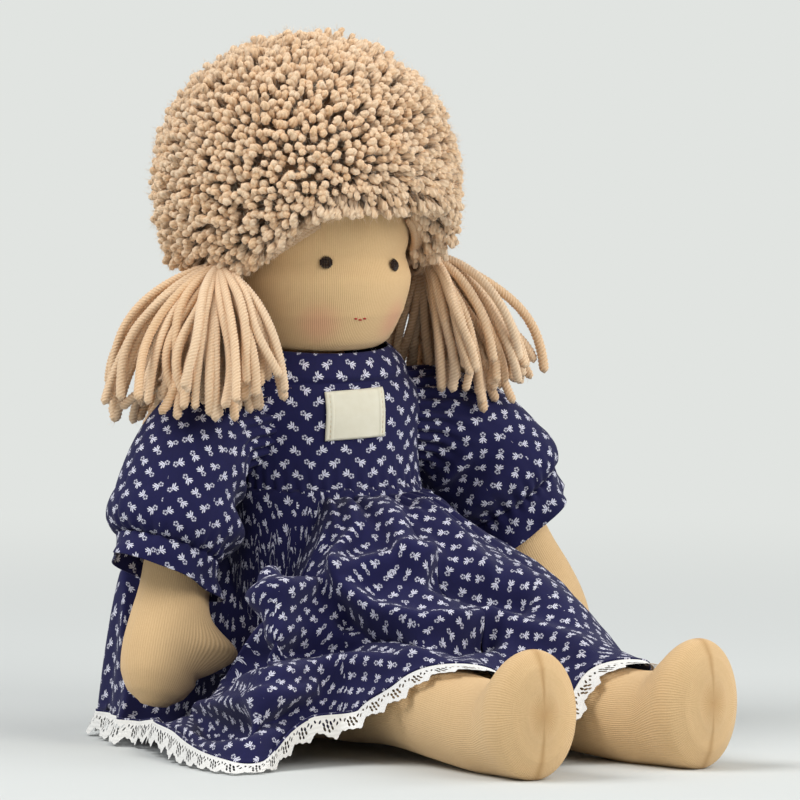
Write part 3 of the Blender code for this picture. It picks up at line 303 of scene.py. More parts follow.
def jersey_paint(colours, blush=None):
    """Fine knitted jersey: ribs across u, stitches along v, painted shade between the ribs, a soft mottle,
    darker grooves at seams.
    """
    paint = Paint("jersey with blush" if blush else "knitted jersey")
    u, v = paint.uv()
    rib = u.ridge(RIB_PITCH)
    stitch = (v + rib * (RIB_PITCH / 4)).ridge(STITCH_PITCH)
    knit = rib * 0.72 + rib * stitch * 0.28
    mottle = paint.noise(paint.place(), 60.0, 3.0)
    fibre = paint.noise(paint.place(), 1400.0, 2.0)
    seam = paint.attribute("seam")
    # The (1 - knit) term is painted shade between the ribs; fibre and mottle are random tone.
    depth = (1.0 - knit) * 0.34 + (fibre - 0.5) * 0.30 + (mottle - 0.5) * 0.22
    base = paint.mix(depth.most(0.0).least(1.0), tuple(colours.jersey), tuple(colours.jersey_shade_and_seam))
    # The seam lines are darkened with the same colour.
    base = paint.mix(seam * 0.75, base, tuple(colours.jersey_shade_and_seam))
    if blush:
        glow = None
        for point in blush:
            away = paint.node(
                "ShaderNodeVectorMath", {"operation": "DISTANCE"}, {0: paint.place(), 1: point}, out=1
            )
            spot = 1.0 - away.step(0.0015, 0.0125)
            glow = spot if glow is None else glow.most(spot)
        base = paint.mix(glow * 0.42, base, tuple(colours.blush))
    normal = paint.bump(knit + fibre * 0.35 - seam * 1.5, 0.00016, 0.75)
    paint.set(Base_Color=base, Roughness=tone(knit, 0.92, 0.84), Normal=normal)
    paint.set(Sheen_Weight=0.12, Sheen_Roughness=0.5, Specular_IOR_Level=0.2)


def yarn_paint(name, light, mid, dark, plies=4.0):
    """Plied wool: the attribute tone is a strand's own tone, and depth is painted shade, mostly by how near
    its root a point is. Raised plies carry a painted highlight, the dips between them painted shade.
    """
    paint = Paint(name)
    u, v = paint.uv()
    ply = u.ridge(1 / plies)
    shade = paint.attribute("tone")
    hairs = paint.noise(paint.vector(u * 26.0, v * 260.0, shade * 31.0), 1.0, 3.0, 0.6)
    fuzz = paint.noise(paint.place(), 2300.0, 2.0, 0.6)
    depth = paint.attribute("depth")
    # lift: the strand's own tone and fibre noise, plus a painted highlight on the raised plies.
    lift = shade * 0.50 + ply * 0.22 + (hairs - 0.5) * 0.55 + (fuzz - 0.5) * 0.5 + 0.06
    base = paint.mix(lift.most(0.0).least(1.0), tuple(mid), tuple(light))
    # Painted shade: depth near the roots, and (1 - ply) between the plies.
    base = paint.mix((depth * 0.9 + (1.0 - ply) * 0.16).least(1.0), base, tuple(dark))
    normal = paint.bump(ply * 0.6 + hairs * 0.5 + fuzz * 0.5, 0.00030, 0.8)
    paint.set(Base_Color=base, Roughness=tone(hairs, 0.82, 0.96), Normal=normal)
    paint.set(Sheen_Weight=0.25, Sheen_Roughness=0.4, Specular_IOR_Level=0.15)


def sprig_mask(u, v):
    """White sprigs in columns, four headings in turn, every second column half a step lower.

    In a sprig's own place (p, q), in metres: five petals, where r lies within a dot's reach of the
    ring's radius and cos 5t is high; a stem, a thin line; and four leaves, slanted ellipses.
    """
    column = u / SPRIG_COLUMN
    nth = column.whole()
    odd = (nth * 0.5).part() * 2.0
    a = (column.part() - 0.5) * SPRIG_COLUMN
    b = ((v / SPRIG_RISE + odd * 0.5).part() - 0.5) * SPRIG_RISE
    flip = 1.0 - ((nth * 0.25).part() * 4.0 > 1.5) * 2.0
    face = 1.0 - (odd > 0.5) * 2.0
    lean, size = 0.62, 0.93
    p = (a * flip * math.cos(lean) + b * face * math.sin(lean)) * size
    q = (b * face * math.cos(lean) - a * flip * math.sin(lean)) * size
    fp = p - 0.00105
    r = (fp * fp + q * q).root()
    bead = (q.over(fp) * 5.0).cosine() * 0.5 + 0.5
    ring = (1.0 - abs(r - 0.00070).step(0.00019, 0.00040)) * tone(bead, 0.15, 1.0)
    stem = (1.0 - abs(q + p * 0.10).step(0.00012, 0.00027)) * (p < 0.0002) * (p > -0.0022)
    shape = ring.most(stem)
    for cp, cq, tilt, long, wide in (
        (-0.00062, 0.00078, 1.00, 0.00090, 0.00026), (-0.00055, -0.00080, -1.00, 0.00088, 0.00026),
        (-0.00140, 0.00070, 0.80, 0.00088, 0.00026), (-0.00135, -0.00075, -0.80, 0.00084, 0.00026),
    ):
        x = (p - cp) * math.cos(tilt) - (q - cq) * math.sin(tilt)
        y = (p - cp) * math.sin(tilt) + (q - cq) * math.cos(tilt)
        shape = shape.most(1.0 - ((x / long) ** 2.0 + (y / wide) ** 2.0).step(0.70, 1.30))
    return shape


def print_paint(colours):
    """Navy cotton with printed sprigs, a little worn, in a plain weave with slubs."""
    paint = Paint("sprigged cotton")
    u, v = paint.uv()
    weave = u.wave(WEAVE_PITCH) * v.wave(WEAVE_PITCH) * 0.5 + 0.5
    slub = paint.noise(paint.vector(u * 900.0, v * 260.0), 1.0, 3.0)
    cloud = paint.noise(paint.place(), 45.0, 2.0)
    # The weave term is painted shade between the threads; slub and cloud are random tone.
    share = (weave * 0.35 + slub * 0.45 + cloud * 0.45 - 0.2).most(0.0).least(1.0)
    base = paint.mix(share, tuple(colours.cotton_dark), tuple(colours.cotton))
    worn = paint.noise(paint.place(), 900.0, 2.0)
    mask = sprig_mask(u, v) * tone(worn, 0.80, 1.0)
    base = paint.mix(mask.least(1.0), base, tuple(colours.sprig))
    normal = paint.bump(weave * 0.5 + slub * 0.6, 0.00012, 0.6)
    paint.set(Base_Color=base, Roughness=tone(share, 0.80, 0.90), Normal=normal)
    paint.set(Sheen_Weight=0.06, Sheen_Roughness=0.5, Specular_IOR_Level=0.22)


def lace_paint(colours):
    """Cotton lace: v runs from 0 at the seam to 1 at the edge, u along it in metres.

    The edge is a saw of scallops, each a slanted tooth with a notch, and open where alpha is 0:
    rows of eyelets under it, and a band of small holes beside the seam.
    """
    paint = Paint("eyelet lace")
    u, v = paint.uv()
    t = (u / LACE_REPEAT).part()
    saw = (t * 1.35).least((1.0 - t) * 3.86)
    scoop = t.wave(1 / 3) * 0.030
    fine = u.wave(0.0009) * 0.012
    solid = v < (saw * 0.34 + 0.66 + scoop + fine)
    holes = None
    for ct, cv, tilt, long, wide in (
        (0.36, 0.26, 0.5, 0.085, 0.045), (0.52, 0.34, 0.5, 0.085, 0.045), (0.24, 0.38, 0.5, 0.080, 0.042),
        (0.40, 0.46, 0.5, 0.085, 0.045), (0.58, 0.52, 0.5, 0.080, 0.042), (0.28, 0.56, 0.5, 0.080, 0.042),
        (0.66, 0.24, -0.5, 0.070, 0.036), (0.78, 0.36, -0.5, 0.070, 0.036), (0.10, 0.26, -0.5, 0.070, 0.036),
        (0.92, 0.22, 0.5, 0.060, 0.034), (0.46, 0.64, 0.5, 0.070, 0.038),
    ):
        x, y = t - ct, (v - cv) * 0.82
        along = x * math.sin(tilt) + y * math.cos(tilt)
        across = x * math.cos(tilt) - y * math.sin(tilt)
        spot = ((along / long) ** 2.0 + (across / wide) ** 2.0) < 1.0
        holes = spot if holes is None else holes.most(spot)
    thread = paint.noise(paint.vector(u * 2600.0, v * 18.0), 1.0, 3.0)
    rim = (v * 34.0).sine() * 0.5 + 0.5
    base = paint.mix(tone(thread, 0.0, 0.35), tuple(colours.lace), (0.62, 0.61, 0.58, 1.0))
    normal = paint.bump(thread * 0.7 + rim * 0.5, 0.00030, 0.9)
    paint.set(Base_Color=base, Roughness=0.85, Normal=normal, Alpha=solid * (1.0 - holes))
    paint.set(Sheen_Weight=0.1, Specular_IOR_Level=0.2)


def tape_paint(name, base_colour, other):
    """Plain woven tape or thread."""
    paint = Paint(name)
    u, v = paint.uv()
    weave = u.wave(TAPE_PITCH) * v.wave(TAPE_PITCH) * 0.5 + 0.5
    cloud = paint.noise(paint.place(), 260.0, 3.0)
    share = (weave * 0.30 + cloud * 0.45).least(1.0)
    paint.set(
        Base_Color=paint.mix(share, tuple(base_colour), tuple(other)), Roughness=tone(cloud, 0.78, 0.92),
        Normal=paint.bump(weave + cloud * 0.5, 0.00010, 0.6), Specular_IOR_Level=0.2,
    )


def button_paint(colours):
    """Glossy plastic with faint scratches."""
    paint = Paint("button plastic")
    scratch = paint.noise(paint.place(), 1800.0, 4.0)
    cloud = paint.noise(paint.place(), 300.0, 2.0)
    paint.set(
        Base_Color=paint.mix(cloud, tuple(colours.button), scaled(colours.button, 0.6)),
        Roughness=tone(scratch, 0.22, 0.42), Normal=paint.bump(scratch, 0.00004, 0.4),
    )


def paints():
    """The doll's materials by name, made once."""
    colours = bpy.context.scene.doll_colours
    sizes = bpy.context.scene.doll_sizes
    if "knitted jersey" not in bpy.data.materials:
        jersey_paint(colours)
        cheeks = [tuple(on_face(sizes, side * math.radians(31), 0.1670)) for side in SIDES.values()]
        jersey_paint(colours, cheeks)
        yarn_paint("hair yarn", colours.yarn_light, colours.yarn, colours.yarn_dark)
        eye, red = colours.eye, colours.mouth
        # A lighter copy of the eye colour gives the fibres and a painted highlight on the raised plies;
        # darker copies of the eye and mouth colours are painted shade between the plies.
        yarn_paint("eye stitching", scaled(eye, 2.2), eye, scaled(eye, 0.4), 3.0)
        yarn_paint("mouth stitching", red, red, scaled(red, 0.5), 3.0)
        print_paint(colours)
        lace_paint(colours)
        tape_paint("cream tape", colours.patch, colours.stitch)
        tape_paint("patch stitching", colours.stitch, colours.yarn)
        button_paint(colours)
    return bpy.data.materials


# Surfaces

def cubic(a, b, c, d, f):
    """Catmull-Rom from b to c: b + f/2 (c - a + f (2a - 5b + 4c - d + f (3(b - c) + d - a)))."""
    return b + 0.5 * f * (c - a + f * (2 * a - 5 * b + 4 * c - d + f * (3 * (b - c) + d - a)))


def read(table, at):
    """Reads a table's other columns where its first column is at, by a cubic between its rows."""
    table = np.asarray(table, float)
    at = np.asarray(at, float)
    rows = np.vstack([2 * table[0] - table[1], table, 2 * table[-1] - table[-2]])[:, 1:]
    index = np.interp(at, table[:, 0], np.arange(len(table)))
    k = np.minimum(index.astype(int), len(table) - 2)
    return cubic(rows[k], rows[k + 1], rows[k + 2], rows[k + 3], (index - k)[..., None])


def read_round(table, turn):
    """Reads a closed table of evenly spaced values round a full turn, by the same cubic."""
    table = np.asarray(table, float)
    at = (turn % 1.0) * len(table)
    k = np.floor(at).astype(int)
    return cubic(*(table[(k + step) % len(table)] for step in (-1, 0, 1, 2)), at - k)


def soft_max(a, b, soft):
    """The larger of two, with its corner rounded: (a + b + sqrt((a - b)^2 + soft^2)) / 2."""
    return 0.5 * (a + b + np.sqrt((a - b) ** 2 + soft ** 2))


def ease(value, low, high):
    """0 under low, 1 over high, 3t^2 - 2t^3 between."""
    t = np.clip((value - low) / (high - low), 0, 1)
    return t * t * (3 - 2 * t)


def unit(vectors):
    return vectors / np.maximum(np.linalg.norm(vectors, axis=-1, keepdims=True), 1e-12)


def ripple(seed, size, *axes):
    """A smooth noise: a sum of six sines of the axes with seeded directions and phases."""
    rng = np.random.default_rng(seed)
    total = 0.0
    for _ in range(6):
        way = rng.normal(size=len(axes))
        way /= np.linalg.norm(way)
        pitch = size * rng.uniform(0.7, 1.8)
        total = total + np.sin(
            sum(w * a for w, a in zip(way, axes)) * 2 * math.pi / pitch + rng.uniform(0, 2 * math.pi)
        )
    return total / 6


def finish_piece(name, mesh, material, body):
    piece = bpy.data.objects.new(name, mesh)
    bpy.context.scene.collection.objects.link(piece)
    mesh.materials.append(paints()[material])
    if body:
        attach(piece, body)
    return piece


def mesh_of(name, points, quads, quad_uv, tris=None, tri_uv=None):
    """A smooth mesh from arrays: quads first, then triangles, with one UV for each corner."""
    mesh = bpy.data.meshes.new(name)
    mesh.vertices.add(len(points))
    mesh.vertices.foreach_set("co", np.ascontiguousarray(points, np.float32).ravel())
    corners, uvs, starts = [quads.ravel()], [quad_uv.reshape(-1, 2)], [np.arange(len(quads)) * 4]
    if tris is not None and len(tris):
        corners.append(tris.ravel())
        uvs.append(tri_uv.reshape(-1, 2))
        starts.append(len(quads) * 4 + np.arange(len(tris)) * 3)
    corners = np.concatenate(corners).astype(np.int32)
    starts = np.concatenate(starts).astype(np.int32)
    mesh.loops.add(len(corners))
    mesh.loops.foreach_set("vertex_index", corners)
    mesh.polygons.add(len(starts))
    mesh.polygons.foreach_set("loop_start", starts)
    mesh.polygons.foreach_set("use_smooth", np.ones(len(starts), bool))
    mesh.update(calc_edges=True)
    layer = mesh.uv_layers.new(name="cloth")
    layer.data.foreach_set("uv", np.concatenate(uvs).astype(np.float32).ravel())
    mesh.validate()
    return mesh


def bundle(name, points, quads, quad_uv, tris, tri_uv, tone, depth):
    """One mesh of many like forms: points by form, the faces of one form, UV by form or for all,
    and each point's own tone and its painted shade, which is mostly its nearness to its root."""
    number, per = points.shape[:2]
    shift = (np.arange(number) * per)[:, None, None]
    mesh = mesh_of(
        name, points.reshape(-1, 3), (quads + shift).reshape(-1, 4),
        np.broadcast_to(quad_uv, (number, *quad_uv.shape[-3:])), (tris + shift).reshape(-1, 3),
        np.broadcast_to(tri_uv, (number, *tri_uv.shape[-3:])),
    )
    keep(mesh, "tone", np.broadcast_to(tone, (number, per)))
    keep(mesh, "depth", np.broadcast_to(depth, (number, per)))
    return mesh


def keep(mesh, name, values):
    """Stores one number a point, or one for all points, as an attribute."""
    layer = mesh.attributes.new(name, "FLOAT", "POINT")
    values = np.broadcast_to(np.ravel(values), len(mesh.vertices))
    layer.data.foreach_set("value", np.ascontiguousarray(values, np.float32))


def quad_grid(rows, cols, wrap=True):
    """The quads of a grid of points, and each quad's row and column."""
    i, j = np.meshgrid(np.arange(rows - 1), np.arange(cols if wrap else cols - 1), indexing="ij")
    k = (j + 1) % cols
    quads = np.stack([i * cols + j, i * cols + k, (i + 1) * cols + k, (i + 1) * cols + j], -1)
    return quads.reshape(-1, 4), i, j


def facing_in(grid):
    """True where a wrapped grid's quads (i, j), (i, j+1), (i+1, j+1) point into the form."""
    near = grid - grid.reshape(-1, 3).mean(axis=0)
    a, b = near[:-1], np.roll(near[:-1], -1, axis=1)
    c, d = np.roll(near[1:], -1, axis=1), near[1:]
    return (np.cross(b - a, d - a) * (a + b + c + d)).sum() < 0


def surface(name, grid, uv, wrap=True, start=None, end=None, flip=None, breaks=None):
    """A mesh over a grid of points: rows along the piece, columns across or round it.

    uv has a pair for each grid point, and one more column where the grid wraps. start and end are
    tips that close the first and the last row. breaks gives each column of quads its own shift of u.
    """
    rows, cols = grid.shape[:2]
    quads, i, j = quad_grid(rows, cols, wrap)
    quad_uv = np.stack([uv[i, j], uv[i, j + 1], uv[i + 1, j + 1], uv[i + 1, j]], 2)
    if breaks is not None:
        quad_uv = quad_uv + breaks(i, j)
    quad_uv = quad_uv.reshape(-1, 4, 2)
    points = grid.reshape(-1, 3)
    tris, tri_uv = [], []
    j = j[0]
    for tip, row, order in ((start, 0, -1), (end, rows - 1, 1)):
        if tip is None:
            continue
        points = np.vstack([points, tip])
        hub = np.full(len(j), len(points) - 1)
        fan = np.stack([hub, row * cols + j, row * cols + (j + 1) % cols], 1)
        tip_uv = np.stack([(uv[row, j] + uv[row, j + 1]) / 2, uv[row, j], uv[row, j + 1]], 1)
        tris.append(fan[:, ::order])
        tri_uv.append(tip_uv[:, ::order])
    tris = np.vstack(tris) if tris else None
    tri_uv = np.vstack(tri_uv) if tri_uv else None
    if flip is None:
        flip = wrap and facing_in(grid)
    if flip:
        quads, quad_uv = quads[:, ::-1], quad_uv[:, ::-1]
        if tris is not None:
            tris, tri_uv = tris[:, ::-1], tri_uv[:, ::-1]
    return mesh_of(name, points, quads, quad_uv, tris, tri_uv)


def round_uv(turn, girth, along):
    """UV in metres for a wrapped grid: a girth times the turn, and the way along."""
    turn = np.append(turn, 1.0)
    u = np.broadcast_to(turn * girth, (len(along), len(turn)))
    return np.stack([u, np.broadcast_to(np.asarray(along)[:, None], u.shape)], -1)


def thicken(piece, wall):
    """A Solidify modifier, centred, for a cloth seen from both sides."""
    step = piece.modifiers.new("wall", "SOLIDIFY")
    step.thickness = wall
    step.offset = 0.0
    return piece


def yarn_mesh(name, paths, radius, period, plies=4, groove=0.2, tones=0.5, painted_shades=0.0, swell=0.0):
    """Plied strands along paths, an array of strands by rings by xyz.

    Ring points stand at angle 2 pi (column / columns + s / period), s being the way along the strand,
    and at radius r (1 - groove) on every second column, so the columns are the plies and the dips
    between them. The ends are rounded by radius r sqrt(1 - (1 - x / r)^2) within r of an end.
    """
    number, rings = paths.shape[:2]
    cols = 2 * plies
    step = np.linalg.norm(np.diff(paths, axis=1), axis=2)
    s = np.concatenate([np.zeros((number, 1)), np.cumsum(step, axis=1)], axis=1)
    along = unit(np.gradient(paths, axis=1))
    half = rings // 2
    bend = np.cross(paths[:, half] - paths[:, 0], paths[:, -1] - paths[:, half])
    spare = np.cross(along[:, half], (0.31, 0.17, 0.93))
    bend = np.where(np.linalg.norm(bend, axis=1, keepdims=True) > 1e-7, bend, spare)
    side = unit(np.cross(along, unit(bend)[:, None, :]))
    other = np.cross(along, side)
    turn = 2 * math.pi * (np.arange(cols)[None, None, :] / cols + (s / period)[:, :, None])
    radius = np.broadcast_to(radius, (number,))[:, None]
    near = np.clip(np.minimum(s, s[:, -1:] - s) / radius, 0, 1)
    r = radius * np.sqrt(np.clip(1 - (1 - near) ** 2, 0.12, 1)) * (1 + swell * (s / s[:, -1:]))
    reach = r[:, :, None] * (1 - groove * (np.arange(cols) % 2))
    grid = (
        paths[:, :, None, :]
        + (np.cos(turn) * reach)[..., None] * side[:, :, None, :]
        + (np.sin(turn) * reach)[..., None] * other[:, :, None, :]
    )
    tip = along[:, (0, -1)] * radius[..., None] * 0.25 * np.array([[-1.0], [1.0]])
    points = np.concatenate([grid.reshape(number, -1, 3), paths[:, (0, -1)] + tip], axis=1)
    quads, i, j = quad_grid(rings, cols)
    hub = rings * cols
    round_ = np.arange(cols)
    ahead = (round_ + 1) % cols
    first = np.stack([np.full(cols, hub), ahead, round_], 1)
    last = np.stack([np.full(cols, hub + 1), hub - cols + round_, hub - cols + ahead], 1)
    u = np.stack([j, j + 1, j + 1, j], -1).reshape(-1, 4) / cols
    v = np.stack([s[:, i], s[:, i], s[:, i + 1], s[:, i + 1]], -1).reshape(number, -1, 4)
    fan_u = np.concatenate([
        np.stack([round_ + 0.5, round_ + 1, round_], 1), np.stack([round_ + 0.5, round_, round_ + 1], 1)
    ]) / cols
    fan_v = np.zeros((number, 2 * cols, 3))
    fan_v[:, cols:] = s[:, -1][:, None, None]
    tones = np.broadcast_to(tones, (number,))[:, None]
    # The per-ring values given here are painted shade, stored as the attribute depth.
    painted_shades = np.broadcast_to(painted_shades, (number, rings))
    depth = np.concatenate([np.repeat(painted_shades, cols, axis=1), painted_shades[:, :1], painted_shades[:, -1:]], axis=1)
    return bundle(
        name, points, quads, np.stack([np.broadcast_to(u, v.shape), v], -1),
        np.concatenate([first, last]), np.stack([np.broadcast_to(fan_u, fan_v.shape), fan_v], -1),
        tones, depth,
    )


# Head

# Radius over the head's half width, by height over the head's own height.
HEAD_SHARES = (
    (0.000, 0.000), (0.002, 0.220), (0.007, 0.430), (0.020, 0.640), (0.050, 0.755), (0.085, 0.812),
    (0.125, 0.858), (0.190, 0.922), (0.330, 1.000), (0.410, 0.984), (0.455, 0.962), (0.500, 0.978),
    (0.620, 1.000), (0.740, 0.955), (0.870, 0.800), (0.960, 0.520), (0.990, 0.260), (1.000, 0.000),
)

EYE_LINE_SHARE = 0.432
FACE_TURN = math.radians(2.2)
FACE_TILT = 0.0012
# Start and end across, and height, of each stitch of the mouth, on a face of this reach.
MOUTH_STITCHES = ((-0.0026, -0.0012, 0.0002), (-0.0007, 0.0008, -0.0003), (0.0012, 0.0027, 0.0001))
MOUTH_REACH = 0.033


def head_radius(sizes, z):
    share = (np.asarray(z) - sizes.head_bottom) / (sizes.head_top - sizes.head_bottom)
    return read(HEAD_SHARES, share)[..., 0] * sizes.head_half_width


def eye_line(sizes):
    return sizes.head_bottom + EYE_LINE_SHARE * (sizes.head_top - sizes.head_bottom)


def round_axis(middle_y, reach, way, z):
    """Points round an upright axis, by reach, angle from straight ahead and height."""
    return np.stack(np.broadcast_arrays(reach * np.sin(way), middle_y - reach * np.cos(way), z), -1)


def on_face(sizes, way, z, rise=0.0):
    """A point on the head's skin by its angle from straight ahead and its height."""
    return round_axis(sizes.neck_y, head_radius(sizes, z) + rise, way, z)


class DOLL_OT_head(bpy.types.Operator):
    """Adds the jersey head with its drawn-in eye line, the stitched eyes and the mouth"""
    bl_idname = "doll.head"
    bl_label = "Head"

    def execute(self, context):
        sizes = context.scene.doll_sizes
        turn = np.linspace(0, 1, 168, endpoint=False)
        share = 0.5 - 0.5 * np.cos(np.linspace(0.10, math.pi - 0.05, 110))
        z = sizes.head_bottom + share[:, None] * (sizes.head_top - sizes.head_bottom)
        way = turn * 2 * math.pi
        cheek = 0.014 * bell((z - 0.172) / 0.011) * np.clip(np.cos(way), 0, 1)
        dent = 0.0007 * bell((z - eye_line(sizes)) / 0.012 / 0.35)
        grid = round_axis(sizes.neck_y, head_radius(sizes, z) * (1 + cheek) - dent, way, z)
        uv = round_uv(turn, 2 * math.pi * sizes.head_half_width, z[:, 0])
        mesh = surface(
            "head", grid, uv, start=(0, sizes.neck_y, sizes.head_bottom),
            end=(0, sizes.neck_y, sizes.head_top),
        )
        keep(mesh, "seam", 0.0)
        head = finish_piece("head", mesh, "jersey with blush", "head")
        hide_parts("head_skin", "inner_head", "eye_line_thread")
        self.eyes(sizes)
        self.mouth(sizes)
        return {"FINISHED"}

    def eyes(self, sizes):
        """Each eye is eight satin stitches side by side, each as long as the disc's chord there."""
        t = np.linspace(-1, 1, 9)
        across = np.linspace(-0.88, 0.88, 8)[:, None]
        chord = np.sqrt(1 - across ** 2)
        beside = across * sizes.eye_radius / sizes.head_half_width
        lift = 0.00045 * np.sqrt(np.clip(1 - t ** 2, 0, 1)) + 0.0002 * (1 - across ** 2)
        for side, sign in SIDES.items():
            z = eye_line(sizes) - sign * FACE_TILT + chord * sizes.eye_radius * t
            paths = on_face(sizes, sign * sizes.eye_angle - FACE_TURN + beside, z, lift)
            mesh = yarn_mesh("eye_" + side, paths, 0.00040, 0.0016, plies=3, groove=0.16)
            eye = finish_piece("stitched_eye_" + side, mesh, "eye stitching", "head")
            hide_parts("eye_" + side)

    def mouth(self, sizes):
        """Three short red stitches in a row."""
        t = np.linspace(0, 1, 7)
        rows = []
        for low, high, drop in MOUTH_STITCHES:
            way = (low + (high - low) * t) / MOUTH_REACH - 1.5 * FACE_TURN
            z = eye_line(sizes) - sizes.mouth_drop + drop - 0.0003 * t
            rows.append(on_face(sizes, way, z, 0.0002 + 0.00035 * np.sin(math.pi * t)))
        mesh = yarn_mesh("mouth", np.array(rows), 0.00042, 0.0014, plies=3, groove=0.16)
        mouth = finish_piece("stitched_mouth", mesh, "mouth stitching", "head")
        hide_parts("mouth")


# Hair

def fuzz(name, roots, aim, radius, rng):
    """Loose wool fibres: thin three-sided spikes that leave the yarn at a random slant to aim."""
    number = len(roots)
    slant = unit(rng.normal(0, 1, (number, 3)))
    start = roots + slant * radius * 0.8
    way = unit(slant * rng.uniform(0.4, 1.0, (number, 1)) + aim * rng.uniform(-0.2, 0.9, (number, 1)))
    size = rng.uniform(0.0012, 0.0032, (number, 1))
    side = unit(np.cross(way, unit(rng.normal(0, 1, (number, 3)))))
    other = np.cross(way, side)
    wide = 0.00006
    spin = np.radians((0, 120, 240))
    base = [start + (side * math.cos(a) + other * math.sin(a)) * wide for a in spin]
    points = np.stack([*base, start + way * size], 1)
    tris = np.array([(0, 1, 3), (1, 2, 3), (2, 0, 3), (2, 1, 0)])
    mesh = bundle(
        name, points, np.zeros((0, 4), int), np.zeros((0, 4, 2)), tris, np.zeros((4, 3, 2)), 0.9, 0.0
    )
    return finish_piece(name, mesh, "hair yarn", "head")


# Lower edge of the hair round the head: angle from straight ahead in degrees, height.
HAIRLINE = (
    (0, 0.2130), (24, 0.2130), (40, 0.2080), (54, 0.1975), (66, 0.1905), (80, 0.1880), (110, 0.1870),
    (180, 0.1860),
)


# How many ends hang down under the ball's edge.
FRINGE = 520


def hairline(way):
    """Height of the hair's lower edge at an angle from straight ahead."""
    off = np.abs((np.degrees(way) + 180) % 360 - 180)
    return read(HAIRLINE, off)[..., 0]


